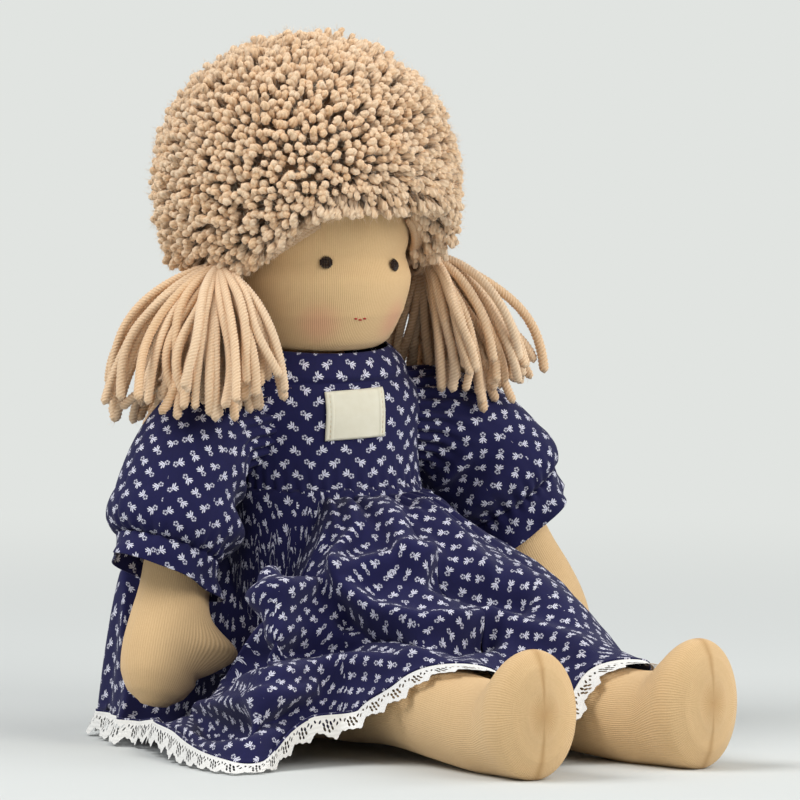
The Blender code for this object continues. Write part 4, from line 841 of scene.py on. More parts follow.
class DOLL_OT_hair_pile(bpy.types.Operator):
    """Adds the thick ball of cut yarn ends over the head, and the wool under them"""
    bl_idname = "doll.hair_pile"
    bl_label = "Hair pile"

    def execute(self, context):
        sizes = context.scene.doll_sizes
        hub = np.array([0.0, sizes.pile_y, sizes.pile_z])
        rng = np.random.default_rng(7)
        tips, ways = self.tips(sizes, hub, rng)
        roots, aim = self.lean(sizes, tips, ways, rng)
        self.tufts(sizes, tips, roots, aim, rng)
        self.under(sizes, hub)
        return {"FINISHED"}

    def tips(self, sizes, hub, rng):
        """Evenly spread directions, z = 1 - 2 (n + 1/2) / N and angle n times the golden angle,
        kept where they lie over the hairline, and a fringe of ends under it that hang down."""
        n = np.arange(sizes.tufts)
        high = 1 - 2 * (n + 0.5) / sizes.tufts
        spin = n * math.pi * (3 - math.sqrt(5))
        flat = np.sqrt(1 - high ** 2)
        way = np.stack([flat * np.sin(spin), -flat * np.cos(spin), high], -1)
        way = unit(way + rng.normal(0, 0.018, way.shape))
        bump = 1 + 0.022 * ripple(3, 0.55, way[:, 0], way[:, 1], way[:, 2])
        reach = sizes.pile_radius * bump + rng.normal(0, 0.0012, len(way))
        tip = hub + way * reach[:, None]
        around = np.arctan2(tip[:, 0], -(tip[:, 1] - sizes.neck_y))
        over = tip[:, 2] > hairline(around) + rng.normal(0, 0.0014, len(tip))
        tip, way = tip[over], way[over]
        edge = rng.uniform(-math.pi, math.pi, FRINGE)
        depth = rng.uniform(0.0, 1.0, FRINGE)
        base = head_radius(sizes, hairline(edge)) + 0.004
        ball = np.sqrt(np.maximum(sizes.pile_radius ** 2 - (hairline(edge) - sizes.pile_z) ** 2, 0)) - 0.001
        out = base + (ball - base) * depth ** 0.7
        low = hairline(edge) - 0.0005 - 0.0022 * rng.uniform(0, 1, FRINGE)
        under = round_axis(sizes.neck_y, out, edge, low)
        return np.vstack([tip, under]), np.vstack([way, unit(under - hub)])

    def lean(self, sizes, tip, way, rng):
        """Each end leans away from a whorl over the forehead and, near the lower edge, down."""
        whorl = unit(np.array([-0.385, -0.89, 0.26]))
        off = way - whorl
        tangent = unit(off - way * (off * way).sum(1, keepdims=True))
        around = np.arctan2(tip[:, 0], -(tip[:, 1] - sizes.neck_y))
        front = bell((around - 0.25) / 0.75) * ease(0.245 - tip[:, 2], 0.0, 0.02)
        close = ease(np.arccos(np.clip(way @ whorl, -1, 1)), 0.10, 0.5)
        down = ease(hairline(around) + 0.011 - tip[:, 2], 0.0, 0.012)
        aim = way + tangent * (0.12 + 0.95 * front * close)[:, None]
        aim = aim + np.array([0, 0, -1.0]) * (1.1 * down)[:, None]
        aim = unit(aim + rng.normal(0, 0.11, tip.shape))
        size = rng.uniform(0.0115, 0.0150, len(tip))[:, None]
        return tip - aim * size, aim

    def tufts(self, sizes, tips, roots, aim, rng):
        """A tuft is eight columns by five rings along its axis with a slight bend, closed by a blunt
        end that is a little wider than its root, since cut yarn opens."""
        share = np.array([0.0, 0.45, 0.80, 0.95, 1.0])
        width = np.array([0.80, 0.95, 1.02, 0.90, 0.54])
        # dark: painted shade by ring, strongest at the root, deep in the pile.
        dark = np.array([1.0, 0.60, 0.10, 0.0, 0.0])
        cols = 8
        size = tips - roots
        spare = np.where(np.abs(aim[:, 2:]) > 0.9, (1.0, 0.0, 0.0), (0.0, 0.0, 1.0))
        side = unit(np.cross(aim, spare))
        other = np.cross(aim, side)
        fall = rng.normal(0, 0.0007, (len(tips), 2))
        bend = side * fall[:, :1] + other * fall[:, 1:]
        axis = roots[:, None] + size[:, None] * share[:, None] + bend[:, None] * (share ** 2)[:, None]
        radius = sizes.strand_radius * rng.uniform(0.80, 1.02, len(tips))
        twist = 2 * math.pi * np.linalg.norm(size, axis=1)[:, None] * share / sizes.twist * 0.5
        start = rng.uniform(0, 6, len(tips))[:, None, None]
        spin = twist[:, :, None] + 2 * math.pi * np.arange(cols) / cols + start
        reach = radius[:, None, None] * width[:, None] * (1 - 0.13 * (np.arange(cols) % 2))
        grid = (
            axis[:, :, None] + (np.cos(spin) * reach)[..., None] * side[:, None, None]
            + (np.sin(spin) * reach)[..., None] * other[:, None, None]
        )
        blunt = tips + bend + aim * (radius * 0.16)[:, None]
        points = np.concatenate([grid.reshape(len(tips), -1, 3), blunt[:, None]], 1)
        quads, i, j = quad_grid(len(share), cols)
        hub = len(share) * cols
        k = np.arange(cols)
        fan = np.stack([np.full(cols, hub), hub - cols + k, hub - cols + (k + 1) % cols], 1)
        u = np.stack([j, j + 1, j + 1, j], -1).reshape(-1, 4) / cols
        v = np.stack([share[i], share[i], share[i + 1], share[i + 1]], -1).reshape(-1, 4) * 0.013
        fan_uv = np.stack([np.stack([k + 0.5, k, k + 1], 1) / cols, np.full((cols, 3), 0.013)], -1)
        depth = np.append(np.repeat(dark, cols), 0.0)
        front = tips[:, 1] < sizes.pile_y
        for name, chosen in (("front", front), ("back", ~front)):
            shade = np.clip(rng.normal(0.5, 0.22, int(chosen.sum())), 0, 1)
            mesh = bundle(
                "yarn_ends_" + name, points[chosen], quads, np.stack([u, v], -1), fan, fan_uv,
                shade[:, None], depth,
            )
            finish_piece("yarn_ends_" + name, mesh, "hair yarn", "head")
            near = np.repeat(tips[chosen] - aim[chosen] * radius[chosen, None] * 0.5, 7, axis=0)
            fuzz("wool_fuzz_" + name, near, np.repeat(aim[chosen], 7, axis=0), sizes.strand_radius, rng)
        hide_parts("hair_pile")

    def under(self, sizes, hub):
        """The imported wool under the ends: a ball a little smaller than they reach, that turns in to
        the head along the hairline."""
        turn = np.linspace(0, 1, 96, endpoint=False)
        way = turn * 2 * math.pi
        inner = sizes.pile_radius - 0.0080
        line = hairline(way) + 0.0045
        low = np.arcsin(np.clip((line - sizes.pile_z) / inner, -1, 1))
        rows = []
        for share in np.linspace(0.02, 1, 34):
            tilt = math.pi / 2 + (low - math.pi / 2) * share
            level = sizes.pile_z + inner * np.sin(tilt)
            rows.append(round_axis(sizes.pile_y, inner * np.cos(tilt), way, level))
        last = rows[-1]
        head = on_face(sizes, way, line, -0.001)
        for share in np.linspace(0.2, 1, 5):
            rows.append(last + (head - last) * share)
        grid = np.array(rows)
        uv = round_uv(turn, 0.36, np.linspace(0, 0.12, len(grid)))
        mesh = surface("wool_under_ends", grid, uv, start=hub + (0, 0, inner), flip=True)
        # Low tone and strong painted shade: the ball under the ends is painted dark, as shade where the ends
        # cover it.
        keep(mesh, "tone", 0.2)
        keep(mesh, "depth", 0.85)
        under = finish_piece("wool_under_ends", mesh, "hair yarn", "head")
        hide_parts("hair_cap")


class DOLL_OT_hair_bunches(bpy.types.Operator):
    """Adds the taut gathered strands, the ties and the loose bunch of plied yarn at each side"""
    bl_idname = "doll.hair_bunches"
    bl_label = "Hair bunches"

    def execute(self, context):
        sizes = context.scene.doll_sizes
        for side, sign in SIDES.items():
            rng = np.random.default_rng(21 if sign < 0 else 22)
            self.gather(sizes, side, sign, rng)
            self.tie(sizes, side, sign)
            self.bunch(sizes, side, sign, rng)
        return {"FINISHED"}

    def gather(self, sizes, side, sign, rng):
        """Strands over the temple: angle and height run straight from under the fringe to the tie,
        spread apart by a distance that closes as (1 - t)."""
        number = 15
        t = np.linspace(0, 1, 44)
        lane = np.linspace(-1, 1, number)[:, None]
        over = 0.0011 * (1 + (np.arange(number) % 3))[:, None]
        way = sign * np.radians(46 + 36 * t + lane * 15 * (1 - t) ** 0.8)
        z = sizes.tie_z + (0.2140 - sizes.tie_z) * (1 - t) + lane * (0.0065 * (1 - t) + 0.0030 * t)
        skin = on_face(sizes, way, z, over + 0.0012)
        ring = np.stack([
            np.full(number, sign * (sizes.tie_x + 0.001)),
            sizes.tie_y + 0.0022 * np.cos(np.arange(number) * 2.4),
            sizes.tie_z + 0.0022 * np.sin(np.arange(number) * 2.4),
        ], -1)
        pull = ease(t, 0.55, 1.0)[None, :, None]
        paths = skin * (1 - pull) + ring[:, None] * pull
        mesh = yarn_mesh(
            "gathered_yarn_" + side, paths, sizes.strand_radius * 0.82, sizes.twist,
            tones=np.clip(rng.normal(0.12, 0.15, number), 0, 1),
            # Painted shade along the strands, deepening toward the tie.
            painted_shades=0.30 + 0.35 * ease(t, 0.6, 1.0),
        )
        piece = finish_piece("gathered_yarn_" + side, mesh, "hair yarn", "head")
        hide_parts("hair_gather_" + side)

    def tie(self, sizes, side, sign):
        """Three turns of yarn round the bunch, as a helix about X."""
        t = np.linspace(0, 1, 120)
        spin = t * 2 * math.pi * 3.2
        paths = np.stack([
            sign * (sizes.tie_x - 0.0016 + 0.0042 * t), sizes.tie_y + 0.0052 * np.cos(spin),
            sizes.tie_z + 0.0052 * np.sin(spin),
        ], -1)[None]
        # The tie gets painted shade all along it.
        mesh = yarn_mesh("tie_" + side, paths, 0.00105, sizes.twist * 0.6, tones=0.1, painted_shades=0.35)
        tie = finish_piece("yarn_tie_" + side, mesh, "hair yarn", "head")
        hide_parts("hair_tie_" + side)

    def bunch(self, sizes, side, sign, rng):
        """A spray of strands. Each leaves the tie outwards and on its own heading, is drawn down by
        its weight and curls a little: its direction is unit(d0 (1 - g) + down g + curl + out) with
        g = droop t^0.8, summed along its length. Two short ones stand up at the knot."""
        number = sizes.bunch_strands
        t = np.linspace(0, 1, 96)
        n = np.arange(number)
        around = np.radians(-112 + 236 * ((n * 0.381966) % 1.0)) + rng.normal(0, 0.08, number)
        spread = np.sqrt((n + 0.5) / number)
        back = np.cos(around - np.radians(30))
        rise = np.radians(-88 + 74 * spread + 7 * np.clip(rng.normal(0, 1, number), -1.2, 0.8))
        rise = rise + np.radians(6) * (1 - back) * spread
        level = np.cos(rise)
        first = np.stack([sign * np.cos(around) * level, np.sin(around) * level, np.sin(rise)], -1)
        size = sizes.bunch_length * rng.uniform(0.86, 1.04, number) * (1 - 0.11 * (1 - back))
        droop = np.minimum(rng.uniform(0.70, 0.84, number) + 0.10 * (1 - back), 0.95)[:, None]
        pull = (droop * t ** 0.80)[..., None]
        curl = np.clip(rng.normal(0, 0.27, (number, 1, 3)), -0.45, 0.45) * (1.0, 1.0, 0.4)
        curl = curl * np.sin(2 * math.pi * t * 0.9 + n[:, None])[..., None]
        out = np.array([sign, 0, 0.12]) * (0.55 * np.exp(-t / 0.07))[:, None]
        way = unit(first[:, None] * (1 - pull) + np.array([0, 0, -1.0]) * pull + curl * t[:, None] + out)
        size[:2], way[:2] = 0.020, unit(way[:2] + np.array([0, -0.5, 3.0]))
        step = way * (size / (len(t) - 1))[:, None, None]
        root = np.stack([
            np.full(number, sign * (sizes.tie_x + 0.0018)),
            sizes.tie_y + 0.0030 * spread * np.sin(around), sizes.tie_z + 0.0034 * (spread - 0.4),
        ], -1)
        paths = root[:, None] + np.cumsum(step, axis=1) - step[:, :1]
        paths[..., 2] = self.over_sleeve(sizes, side, paths)
        paths = self.off_head(sizes, paths)
        mesh = yarn_mesh(
            "loose_yarn_" + side, paths, sizes.strand_radius * rng.uniform(0.90, 1.05, number), sizes.twist,
            tones=np.clip(rng.normal(0.45, 0.20, number), 0, 1),
            # Painted shade near the knot and on the strands in the bunch's core.
            painted_shades=0.45 * (1 - ease(t, 0.0, 0.30)) + 0.34 * (1 - spread[:, None]), swell=0.10,
        )
        piece = finish_piece("loose_yarn_" + side, mesh, "hair yarn", "head")
        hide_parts("hair_bunch_" + side)
        near = paths[:, 12::2].reshape(-1, 3)
        aim = unit(rng.normal(0, 1, near.shape))
        fuzz("loose_fuzz_" + side, near, aim, sizes.strand_radius * 0.8, rng)

    def off_head(self, sizes, paths):
        """Strands keep outside the head: the way off its axis is at least its radius and a yarn's."""
        x, y = paths[..., 0], paths[..., 1] - sizes.neck_y
        z = np.clip(paths[..., 2], sizes.head_bottom, sizes.head_top)
        near = head_radius(sizes, z) + sizes.strand_radius
        reach = np.hypot(x, y)
        push = soft_max(reach, near, 0.002) / np.maximum(reach, 1e-6)
        push = np.where(paths[..., 2] > sizes.head_bottom, push, 1.0)
        return np.stack([x * push, y * push + sizes.neck_y, paths[..., 2]], -1)

    def over_sleeve(self, sizes, side, paths):
        """Strands that would pass into the sleeve lie on it: a dome over the shoulder."""
        x, y, z = np.abs(paths[..., 0]), paths[..., 1], paths[..., 2]
        hub = sizes.shoulder_x + (0.012 if side == "right" else 0.016)
        dome = 0.1430 + sizes.strand_radius - ((x - hub) / 0.034) ** 2 * 0.020 - (y / 0.028) ** 2 * 0.022
        dome = np.where(dome > 0.120, dome, 0.0)
        return np.where(dome > 0, soft_max(z, dome, 0.002), z)


# Body, arms and legs

# Height over the neck's height, front and back reach over the half depth, width over the half width.
BODY_SHARES = (
    (0.000, 0.38, 0.62, 0.70), (0.030, 0.40, 0.84, 0.83), (0.085, 0.38, 0.99, 0.93),
    (0.150, 0.38, 1.07, 0.98), (0.232, 0.52, 1.10, 1.00), (0.290, 0.84, 1.09, 1.00),
    (0.355, 1.18, 1.06, 1.00), (0.440, 1.30, 1.02, 0.99), (0.550, 1.24, 0.93, 0.97),
    (0.680, 1.12, 0.86, 0.95), (0.800, 1.04, 0.90, 0.97), (0.890, 1.02, 0.94, 1.00),
    (0.945, 0.96, 0.93, 0.97), (0.980, 0.84, 0.88, 0.88), (1.000, 0.62, 0.80, 0.66),
)
# Place over the arm's length, radius over the hand's radius.
ARM_SHARES = (
    (0.00, 0.818), (0.20, 0.825), (0.42, 0.835), (0.58, 0.860), (0.70, 0.960), (0.80, 1.000),
    (0.89, 0.930), (0.955, 0.700), (0.990, 0.340),
)
ARM_POSES = {
    "right": (math.radians(16), math.radians(16), math.radians(6)),
    "left": (math.radians(34), math.radians(12), math.radians(14)),
}
THUMB_PLACE_SHARE, THUMB_SPAN_SHARE = 0.775, 0.075
# Place over the leg's length, half width over the leg's radius, half height and axis height over
# the foot's half height.
LEG_SHARES = (
    (0.00, 1.000, 0.784, 0.863), (0.16, 1.000, 0.790, 0.900), (0.36, 0.960, 0.770, 0.930),
    (0.56, 0.920, 0.730, 0.800), (0.74, 0.880, 0.710, 0.692), (0.835, 0.870, 0.740, 0.722),
    (0.885, 0.930, 0.880, 0.862), (0.930, 0.990, 0.985, 0.968), (0.965, 0.900, 0.960, 0.990),
    (0.988, 0.640, 0.720, 1.010),
)


def ring_of(middle, first, second, turn):
    """Points round a middle: middle + first cos + second sin."""
    spin = 2 * math.pi * turn[:, None]
    return np.asarray(middle) + np.cos(spin) * np.asarray(first) + np.sin(spin) * np.asarray(second)


def body_rings(sizes, z, turn, grow=0.0):
    """Level rings of the body at heights z, grown by a distance."""
    rows = read(BODY_SHARES, z / sizes.neck_top)
    low = -rows[:, 0] * sizes.body_half_depth - grow
    high = rows[:, 1] * sizes.body_half_depth + grow
    wide = rows[:, 2] * sizes.body_half_width + grow
    spin = 2 * math.pi * turn[None, :]
    x = wide[:, None] * np.cos(spin)
    y = ((low + high) / 2)[:, None] + ((high - low) / 2)[:, None] * np.sin(spin)
    return np.stack([x, y, np.broadcast_to(z[:, None], x.shape)], -1)


def arm_line(sizes, side, share):
    """The arm's axis and its direction at shares of its length, as (outward, downward)."""
    spread, end_spread, _ = ARM_POSES[side]
    share = np.maximum(np.asarray(share, float), 0.0)
    steps = share[..., None] * np.linspace(0, 1, 33)
    turn = spread + (end_spread - spread) * (steps[..., 1:] + steps[..., :-1]) / 2
    step = np.diff(steps, axis=-1) * sizes.arm_length
    point = np.stack([(np.sin(turn) * step).sum(-1), (np.cos(turn) * step).sum(-1)], -1)
    end = spread + (end_spread - spread) * share
    return point, np.stack([np.sin(end), np.cos(end)], -1)


def arm_place(sizes, side, out, down, ahead):
    """Points given as outward, downward, forward from the shoulder, in the world."""
    swing = ARM_POSES[side][2]
    y = -down * math.sin(swing) - ahead * math.cos(swing)
    z = sizes.shoulder_z - down * math.cos(swing) + ahead * math.sin(swing)
    return np.stack([SIDES[side] * (sizes.shoulder_x + out), y, z], -1)


def leg_axis(sizes, sign):
    """The hip, the leg's length, and its level direction and the level direction across it."""
    hip = np.array([sign * sizes.hip_x, sizes.hip_y])
    way = np.array([sign * sizes.foot_x, sizes.foot_y]) - hip
    size = np.linalg.norm(way)
    way = way / size
    return hip, size, way, np.array([way[1], -way[0]])


class DOLL_OT_body(bpy.types.Operator):
    """Adds the stuffed body, the neck roll, the arms with mitten hands and the legs"""
    bl_idname = "doll.body"
    bl_label = "Body, arms and legs"

    def execute(self, context):
        sizes = context.scene.doll_sizes
        turn = np.linspace(0, 1, 72, endpoint=False)
        z = sizes.neck_top * (0.5 - 0.5 * np.cos(np.linspace(0, math.pi, 60)))
        grid = body_rings(sizes, z, turn)
        mesh = surface(
            "body", grid, round_uv(turn, 0.24, z), start=(0, 0, 0), end=(0, sizes.neck_y, sizes.neck_top)
        )
        body = finish_piece("stuffed_body", mesh, "knitted jersey", "body")
        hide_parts("body_skin", "body_stuffing")
        self.neck(sizes)
        for side, sign in SIDES.items():
            self.arm(sizes, side)
            self.leg(sizes, side, sign)
        return {"FINISHED"}

    def neck(self, sizes):
        """A roll whose radius dips where the thread is wound: r - dip exp(-(z / w)^2)."""
        low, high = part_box("neck_roll")
        turn = np.linspace(0, 1, 48, endpoint=False)
        t = np.linspace(0, 1, 40)
        z = low[2] + (high[2] - low[2]) * t
        dome = np.clip((t - 0.45) / 0.55, 0, 1)
        radius = (high[0] - low[0]) / 2 * np.sqrt(np.clip(1 - dome ** 2, 0.02, 1))
        radius = radius - 0.0012 * bell((z - sizes.neck_top - 0.0012) / 0.0009)
        grid = np.stack([
            ring_of((0, sizes.neck_y, level), (r, 0, 0), (0, r, 0), turn) for level, r in zip(z, radius)
        ])
        mesh = surface(
            "neck", grid, round_uv(turn, 0.09, z), start=(0, sizes.neck_y, low[2]),
            end=(0, sizes.neck_y, high[2]),
        )
        neck = finish_piece("stuffed_neck", mesh, "knitted jersey", "neck")
        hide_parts("neck_roll", "neck_thread")

    def arm(self, sizes, side):
        """Rings across the bent axis. The thumb is a swelling on the inner front side:
        reach exp(-(along / span)^2) exp(-(turn / 32 degrees)^2)."""
        turn = np.linspace(0, 1, 80, endpoint=False)
        spin = 2 * math.pi * turn
        cap = np.linspace(math.radians(8), math.radians(84), 12)
        run = np.linspace(0, 0.992, 110)
        share = np.concatenate([-np.cos(cap) * sizes.arm_radius / sizes.arm_length, run])
        radius = np.concatenate([
            np.sin(cap) * sizes.arm_radius, read(ARM_SHARES, run)[:, 0] * sizes.hand_radius
        ])
        point, axis = arm_line(sizes, side, share)
        point = point + axis * np.minimum(share, 0)[:, None] * sizes.arm_length
        across = np.stack([axis[:, 1], -axis[:, 0]], -1)
        away = (spin - math.radians(-140) + math.pi) % (2 * math.pi) - math.pi
        swell = bell((share - THUMB_PLACE_SHARE) / THUMB_SPAN_SHARE)
        lean = away[None, :] + 1.1 * (share[:, None] - THUMB_PLACE_SHARE)
        thumb = sizes.thumb_reach * swell[:, None] * bell(lean / math.radians(32))
        reach = radius[:, None] + thumb
        notch = bell((share - THUMB_PLACE_SHARE - 0.105) / 0.018)
        reach = reach - 0.0022 * notch[:, None] * bell(lean / math.radians(30))
        reach = reach + 0.0004 * ripple(5, 0.035, 0.0135 * spin[None, :], share[:, None] * sizes.arm_length)
        out = point[:, None, 0] + across[:, None, 0] * np.cos(spin) * reach
        down = point[:, None, 1] + across[:, None, 1] * np.cos(spin) * reach
        grid = arm_place(sizes, side, out, down, -np.sin(spin) * reach)
        root = -axis[0] * sizes.arm_radius
        tip, _ = arm_line(sizes, side, np.array(1.0))
        mesh = surface(
            "arm", grid, round_uv(turn, 0.0848, share * sizes.arm_length),
            start=arm_place(sizes, side, root[0], root[1], 0.0),
            end=arm_place(sizes, side, tip[0], tip[1], 0.0),
        )
        arm = finish_piece("stuffed_arm_" + side, mesh, "knitted jersey", "arm_" + side)
        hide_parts("arm_skin_" + side, "arm_stuffing_" + side, "arm_gather_" + side)

    def leg(self, sizes, side, sign):
        """Rings across a straight axis, pressed flat on the floor. A seam runs over the foot's end
        in the plane of the leg's middle."""
        turn = np.arange(96) / 96
        spin = 2 * math.pi * turn
        hip, size, way, across = leg_axis(sizes, sign)
        cap = np.linspace(math.radians(8), math.radians(84), 10)
        run = np.concatenate([np.linspace(0, 0.86, 60), 0.86 + 0.1385 * np.sin(np.linspace(0.04, 1.5, 44))])
        rows = read(LEG_SHARES, np.minimum(run, 0.988))
        past = np.clip((run - 0.988) / 0.012, 0, 1)
        wide = rows[:, 0] * sizes.leg_radius * (1 - past * 0.55)
        tall = np.where(run == 0, sizes.leg_radius, rows[:, 1] * sizes.foot_half_height) * (1 - past * 0.55)
        lift = np.where(run == 0, sizes.hip_z, rows[:, 2] * sizes.foot_half_height)
        share = np.concatenate([-np.cos(cap) * sizes.leg_radius / size, run])
        wide = np.concatenate([np.sin(cap) * sizes.leg_radius, wide])
        tall = np.concatenate([np.sin(cap) * sizes.leg_radius, tall])
        lift = np.concatenate([np.full(len(cap), sizes.hip_z), lift])
        middle = hip + way * (size * share)[:, None]
        wrinkle = 1 + 0.010 * ripple(9, 0.03, 0.02 * spin[None, :], size * share[:, None])
        x = middle[:, None, 0] + across[0] * wide[:, None] * np.cos(spin) * wrinkle
        y = middle[:, None, 1] + across[1] * wide[:, None] * np.cos(spin) * wrinkle
        z = lift[:, None] + tall[:, None] * np.sin(spin) * wrinkle
        grid = np.stack([x, y, np.maximum(z, 0.0)], -1)
        end = hip + way * size
        start = hip - way * sizes.leg_radius
        mesh = surface(
            "leg", grid, round_uv(turn, 0.125, share * size), start=(*start, sizes.hip_z),
            end=(*end, LEG_SHARES[-1][3] * sizes.foot_half_height),
        )
        off = np.abs(((turn - 0.25) % 0.5 + 0.25) % 0.5 - 0.25) * 0.125
        seam = np.clip(1 - off / 0.003, 0, 1)[None, :] * ease(share, 0.83, 0.87)[:, None]
        keep(mesh, "seam", np.concatenate([seam.ravel(), [0.0, 1.0]]))
        leg = finish_piece("stuffed_leg_" + side, mesh, "knitted jersey", "leg_" + side)
        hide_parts("leg_skin_" + side, "leg_stuffing_" + side)


# Dress

def area_of(grid, wrap):
    """The area of a grid's quads."""
    if wrap:
        grid = np.concatenate([grid, grid[:, :1]], 1)
    a = grid[1:, 1:] - grid[:-1, :-1]
    b = grid[:-1, 1:] - grid[1:, :-1]
    return float(np.linalg.norm(np.cross(a, b), axis=-1).sum() / 2)


def declare_cloth(grid, wrap, with_pieces=()):
    """Finds the area of a grid's quads, and does nothing more with it."""
    area = area_of(grid, wrap)


def bodice_y(sizes, x, z, front=True):
    """Depth of the bodice's outer face at a width and a height."""
    rows = read(BODY_SHARES, np.asarray(z) / sizes.neck_top)
    grow = 0.0003 + sizes.cotton
    low = -rows[..., 0] * sizes.body_half_depth - grow
    high = rows[..., 1] * sizes.body_half_depth + grow
    half = (high - low) / 2 * np.sqrt(1 - (x / (rows[..., 2] * sizes.body_half_width + grow)) ** 2)
    return (low + high) / 2 + (-half if front else half)


# Radius over the button's own and height over its half thickness, from its back to its middle.
BUTTON_SHARES = (
    (0.55, -1), (0.90, -1), (1.0, -0.6), (1.0, 0.3), (0.96, 0.75), (0.86, 0.9), (0.76, 0.75),
    (0.66, 0.35), (0.5, 0.25), (0.34, 0.22), (0.2, 0.22), (0.1, 0.22),
)


class DOLL_OT_bodice(bpy.types.Operator):
    """Adds the dress's bodice, the back placket with its buttons and the bare chest patch"""
    bl_idname = "doll.bodice"
    bl_label = "Bodice"

    def execute(self, context):
        sizes = context.scene.doll_sizes
        turn = np.linspace(0.25, 1.25, 220, endpoint=False)
        grow = 0.0003 + sizes.cotton / 2
        z = np.linspace(sizes.waist_z, sizes.neck_top * 0.972, 70)
        rows = body_rings(sizes, z, turn, grow)
        rise = np.linspace(0, 1, 18)[1:]
        top = rows[-1]
        flare = np.interp(rise, (0, 0.3, 0.85, 1), (1.25, 1.14, 1.0, 0.965))
        shoulder = np.interp(rise, (0, 0.35, 0.65, 0.9, 1), (1.18, 1.22, 1.15, 1.03, 0.97))
        collar = np.stack([
            ring_of((0, sizes.neck_y, 0), (sizes.collar_half_width * wide, 0, 0),
                    (0, sizes.collar_half_depth * deep, 0), turn)
            for deep, wide in zip(flare, shoulder)
        ])
        join = ease(rise, 0.0, 0.30)[:, None, None]
        collar = top[None] * (1 - join) + collar * join
        dip = 0.0020 * np.clip(-np.sin(2 * math.pi * turn), 0, 1) ** 1.5
        collar[..., 2] = top[..., 2] + (sizes.collar_z - dip - top[..., 2]) * rise[:, None]
        grid = np.concatenate([rows, collar])
        height = grid[..., 2]
        away = unit(grid[..., :2] - np.array([0, sizes.neck_y]))
        crease = 0.0006 * ripple(11, 0.030, grid[..., 0], height) * ease(height, 0.102, 0.115)
        pleat = 0.0007 * np.sin(2 * math.pi * turn * 46)[None] * np.exp(-(height - sizes.waist_z) / 0.006)
        grid[..., :2] += away * (crease + pleat)[..., None]
        v = np.concatenate([z, z[-1] + 0.0115 * rise])
        mesh = surface("bodice", grid, round_uv(turn - 0.25, 0.225, v))
        bodice = finish_piece("dress_bodice", mesh, "sprigged cotton", "body")
        thicken(bodice, sizes.cotton)
        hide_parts("bodice")
        declare_cloth(grid, True, [self.opening(sizes)])
        self.patch(sizes)
        return {"FINISHED"}

    def on_patch(self, sizes, s, t):
        """Across and up by shares of the label, which is sewn on a little askew."""
        x = sizes.patch_x + sizes.patch_width * s + 0.0010 * t
        return x, sizes.patch_z + sizes.patch_height * t + 0.0008 * s

    def patch(self, sizes):
        """A folded tape label sewn on by its two ends, bare: u and v across it, raised by its own
        thickness, twice that along the folded ends, and pressed down at the stitches."""
        s, t = np.meshgrid(np.linspace(-0.5, 0.5, 72), np.linspace(-0.5, 0.5, 56))
        x, z = self.on_patch(sizes, s, t)
        edge = (0.5 - np.abs(s)) * sizes.patch_width
        brim = np.minimum(edge, (0.5 - np.abs(t)) * sizes.patch_height)
        rise = 0.0010 + 0.0004 * (1 - ease(edge, 0.0026, 0.0031)) + 0.00025 * ripple(4, 0.012, x, z)
        rise = rise - 0.00030 * bell((edge - 0.0014) / 0.0005)
        rise = rise - 0.0006 * (1 - ease(brim, 0, 0.0006))
        y = bodice_y(sizes, x, z) - rise
        grid = np.stack([x, y, z], -1)
        uv = np.stack([x, z], -1)
        mesh = surface("patch", grid, uv, wrap=False)
        patch = thicken(finish_piece("bare_patch", mesh, "cream tape", "body"), 0.0005)
        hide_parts("chest_patch")
        declare_cloth(grid, False)
        lines = []
        arc = np.linspace(0, 1, 6)
        for s0 in (-0.5, 0.5):
            for t0 in np.linspace(-0.44, 0.38, 9):
                t = t0 + 0.062 * arc
                x = sizes.patch_x + sizes.patch_width * (s0 * (1 - 0.115)) + 0.0010 * t
                z = sizes.patch_z + sizes.patch_height * t + 0.0008 * s0
                y = bodice_y(sizes, x, z) - 0.00135 - 0.0002 * np.sin(math.pi * arc)
                lines.append(np.stack([x, y, z], -1))
        mesh = yarn_mesh("stitches", np.array(lines), 0.00016, 0.0008, plies=3, groove=0.1)
        finish_piece("patch_stitches", mesh, "patch stitching", "body")

    def opening(self, sizes):
        """The overlap at the back, as a strip that stands off by its own thickness."""
        low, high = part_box("back_placket")
        s, t = np.meshgrid(np.linspace(-0.5, 0.5, 30), np.linspace(0, 1, 60))
        x = sizes.placket_width * s
        z = low[2] + (high[2] - low[2]) * t
        rise = 0.0012 - 0.0005 * bell((np.abs(s) - 0.36) / 0.05) + 0.0003 * ripple(8, 0.02, x, z)
        grid = np.stack([x, bodice_y(sizes, x, z, False) + rise, z], -1)
        mesh = surface("placket", grid, np.stack([x, z], -1), wrap=False)
        strip = thicken(finish_piece("back_strip", mesh, "sprigged cotton", "body"), 0.0006)
        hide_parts("back_placket")
        for name in ("upper", "lower"):
            self.button(sizes, name)
        return strip

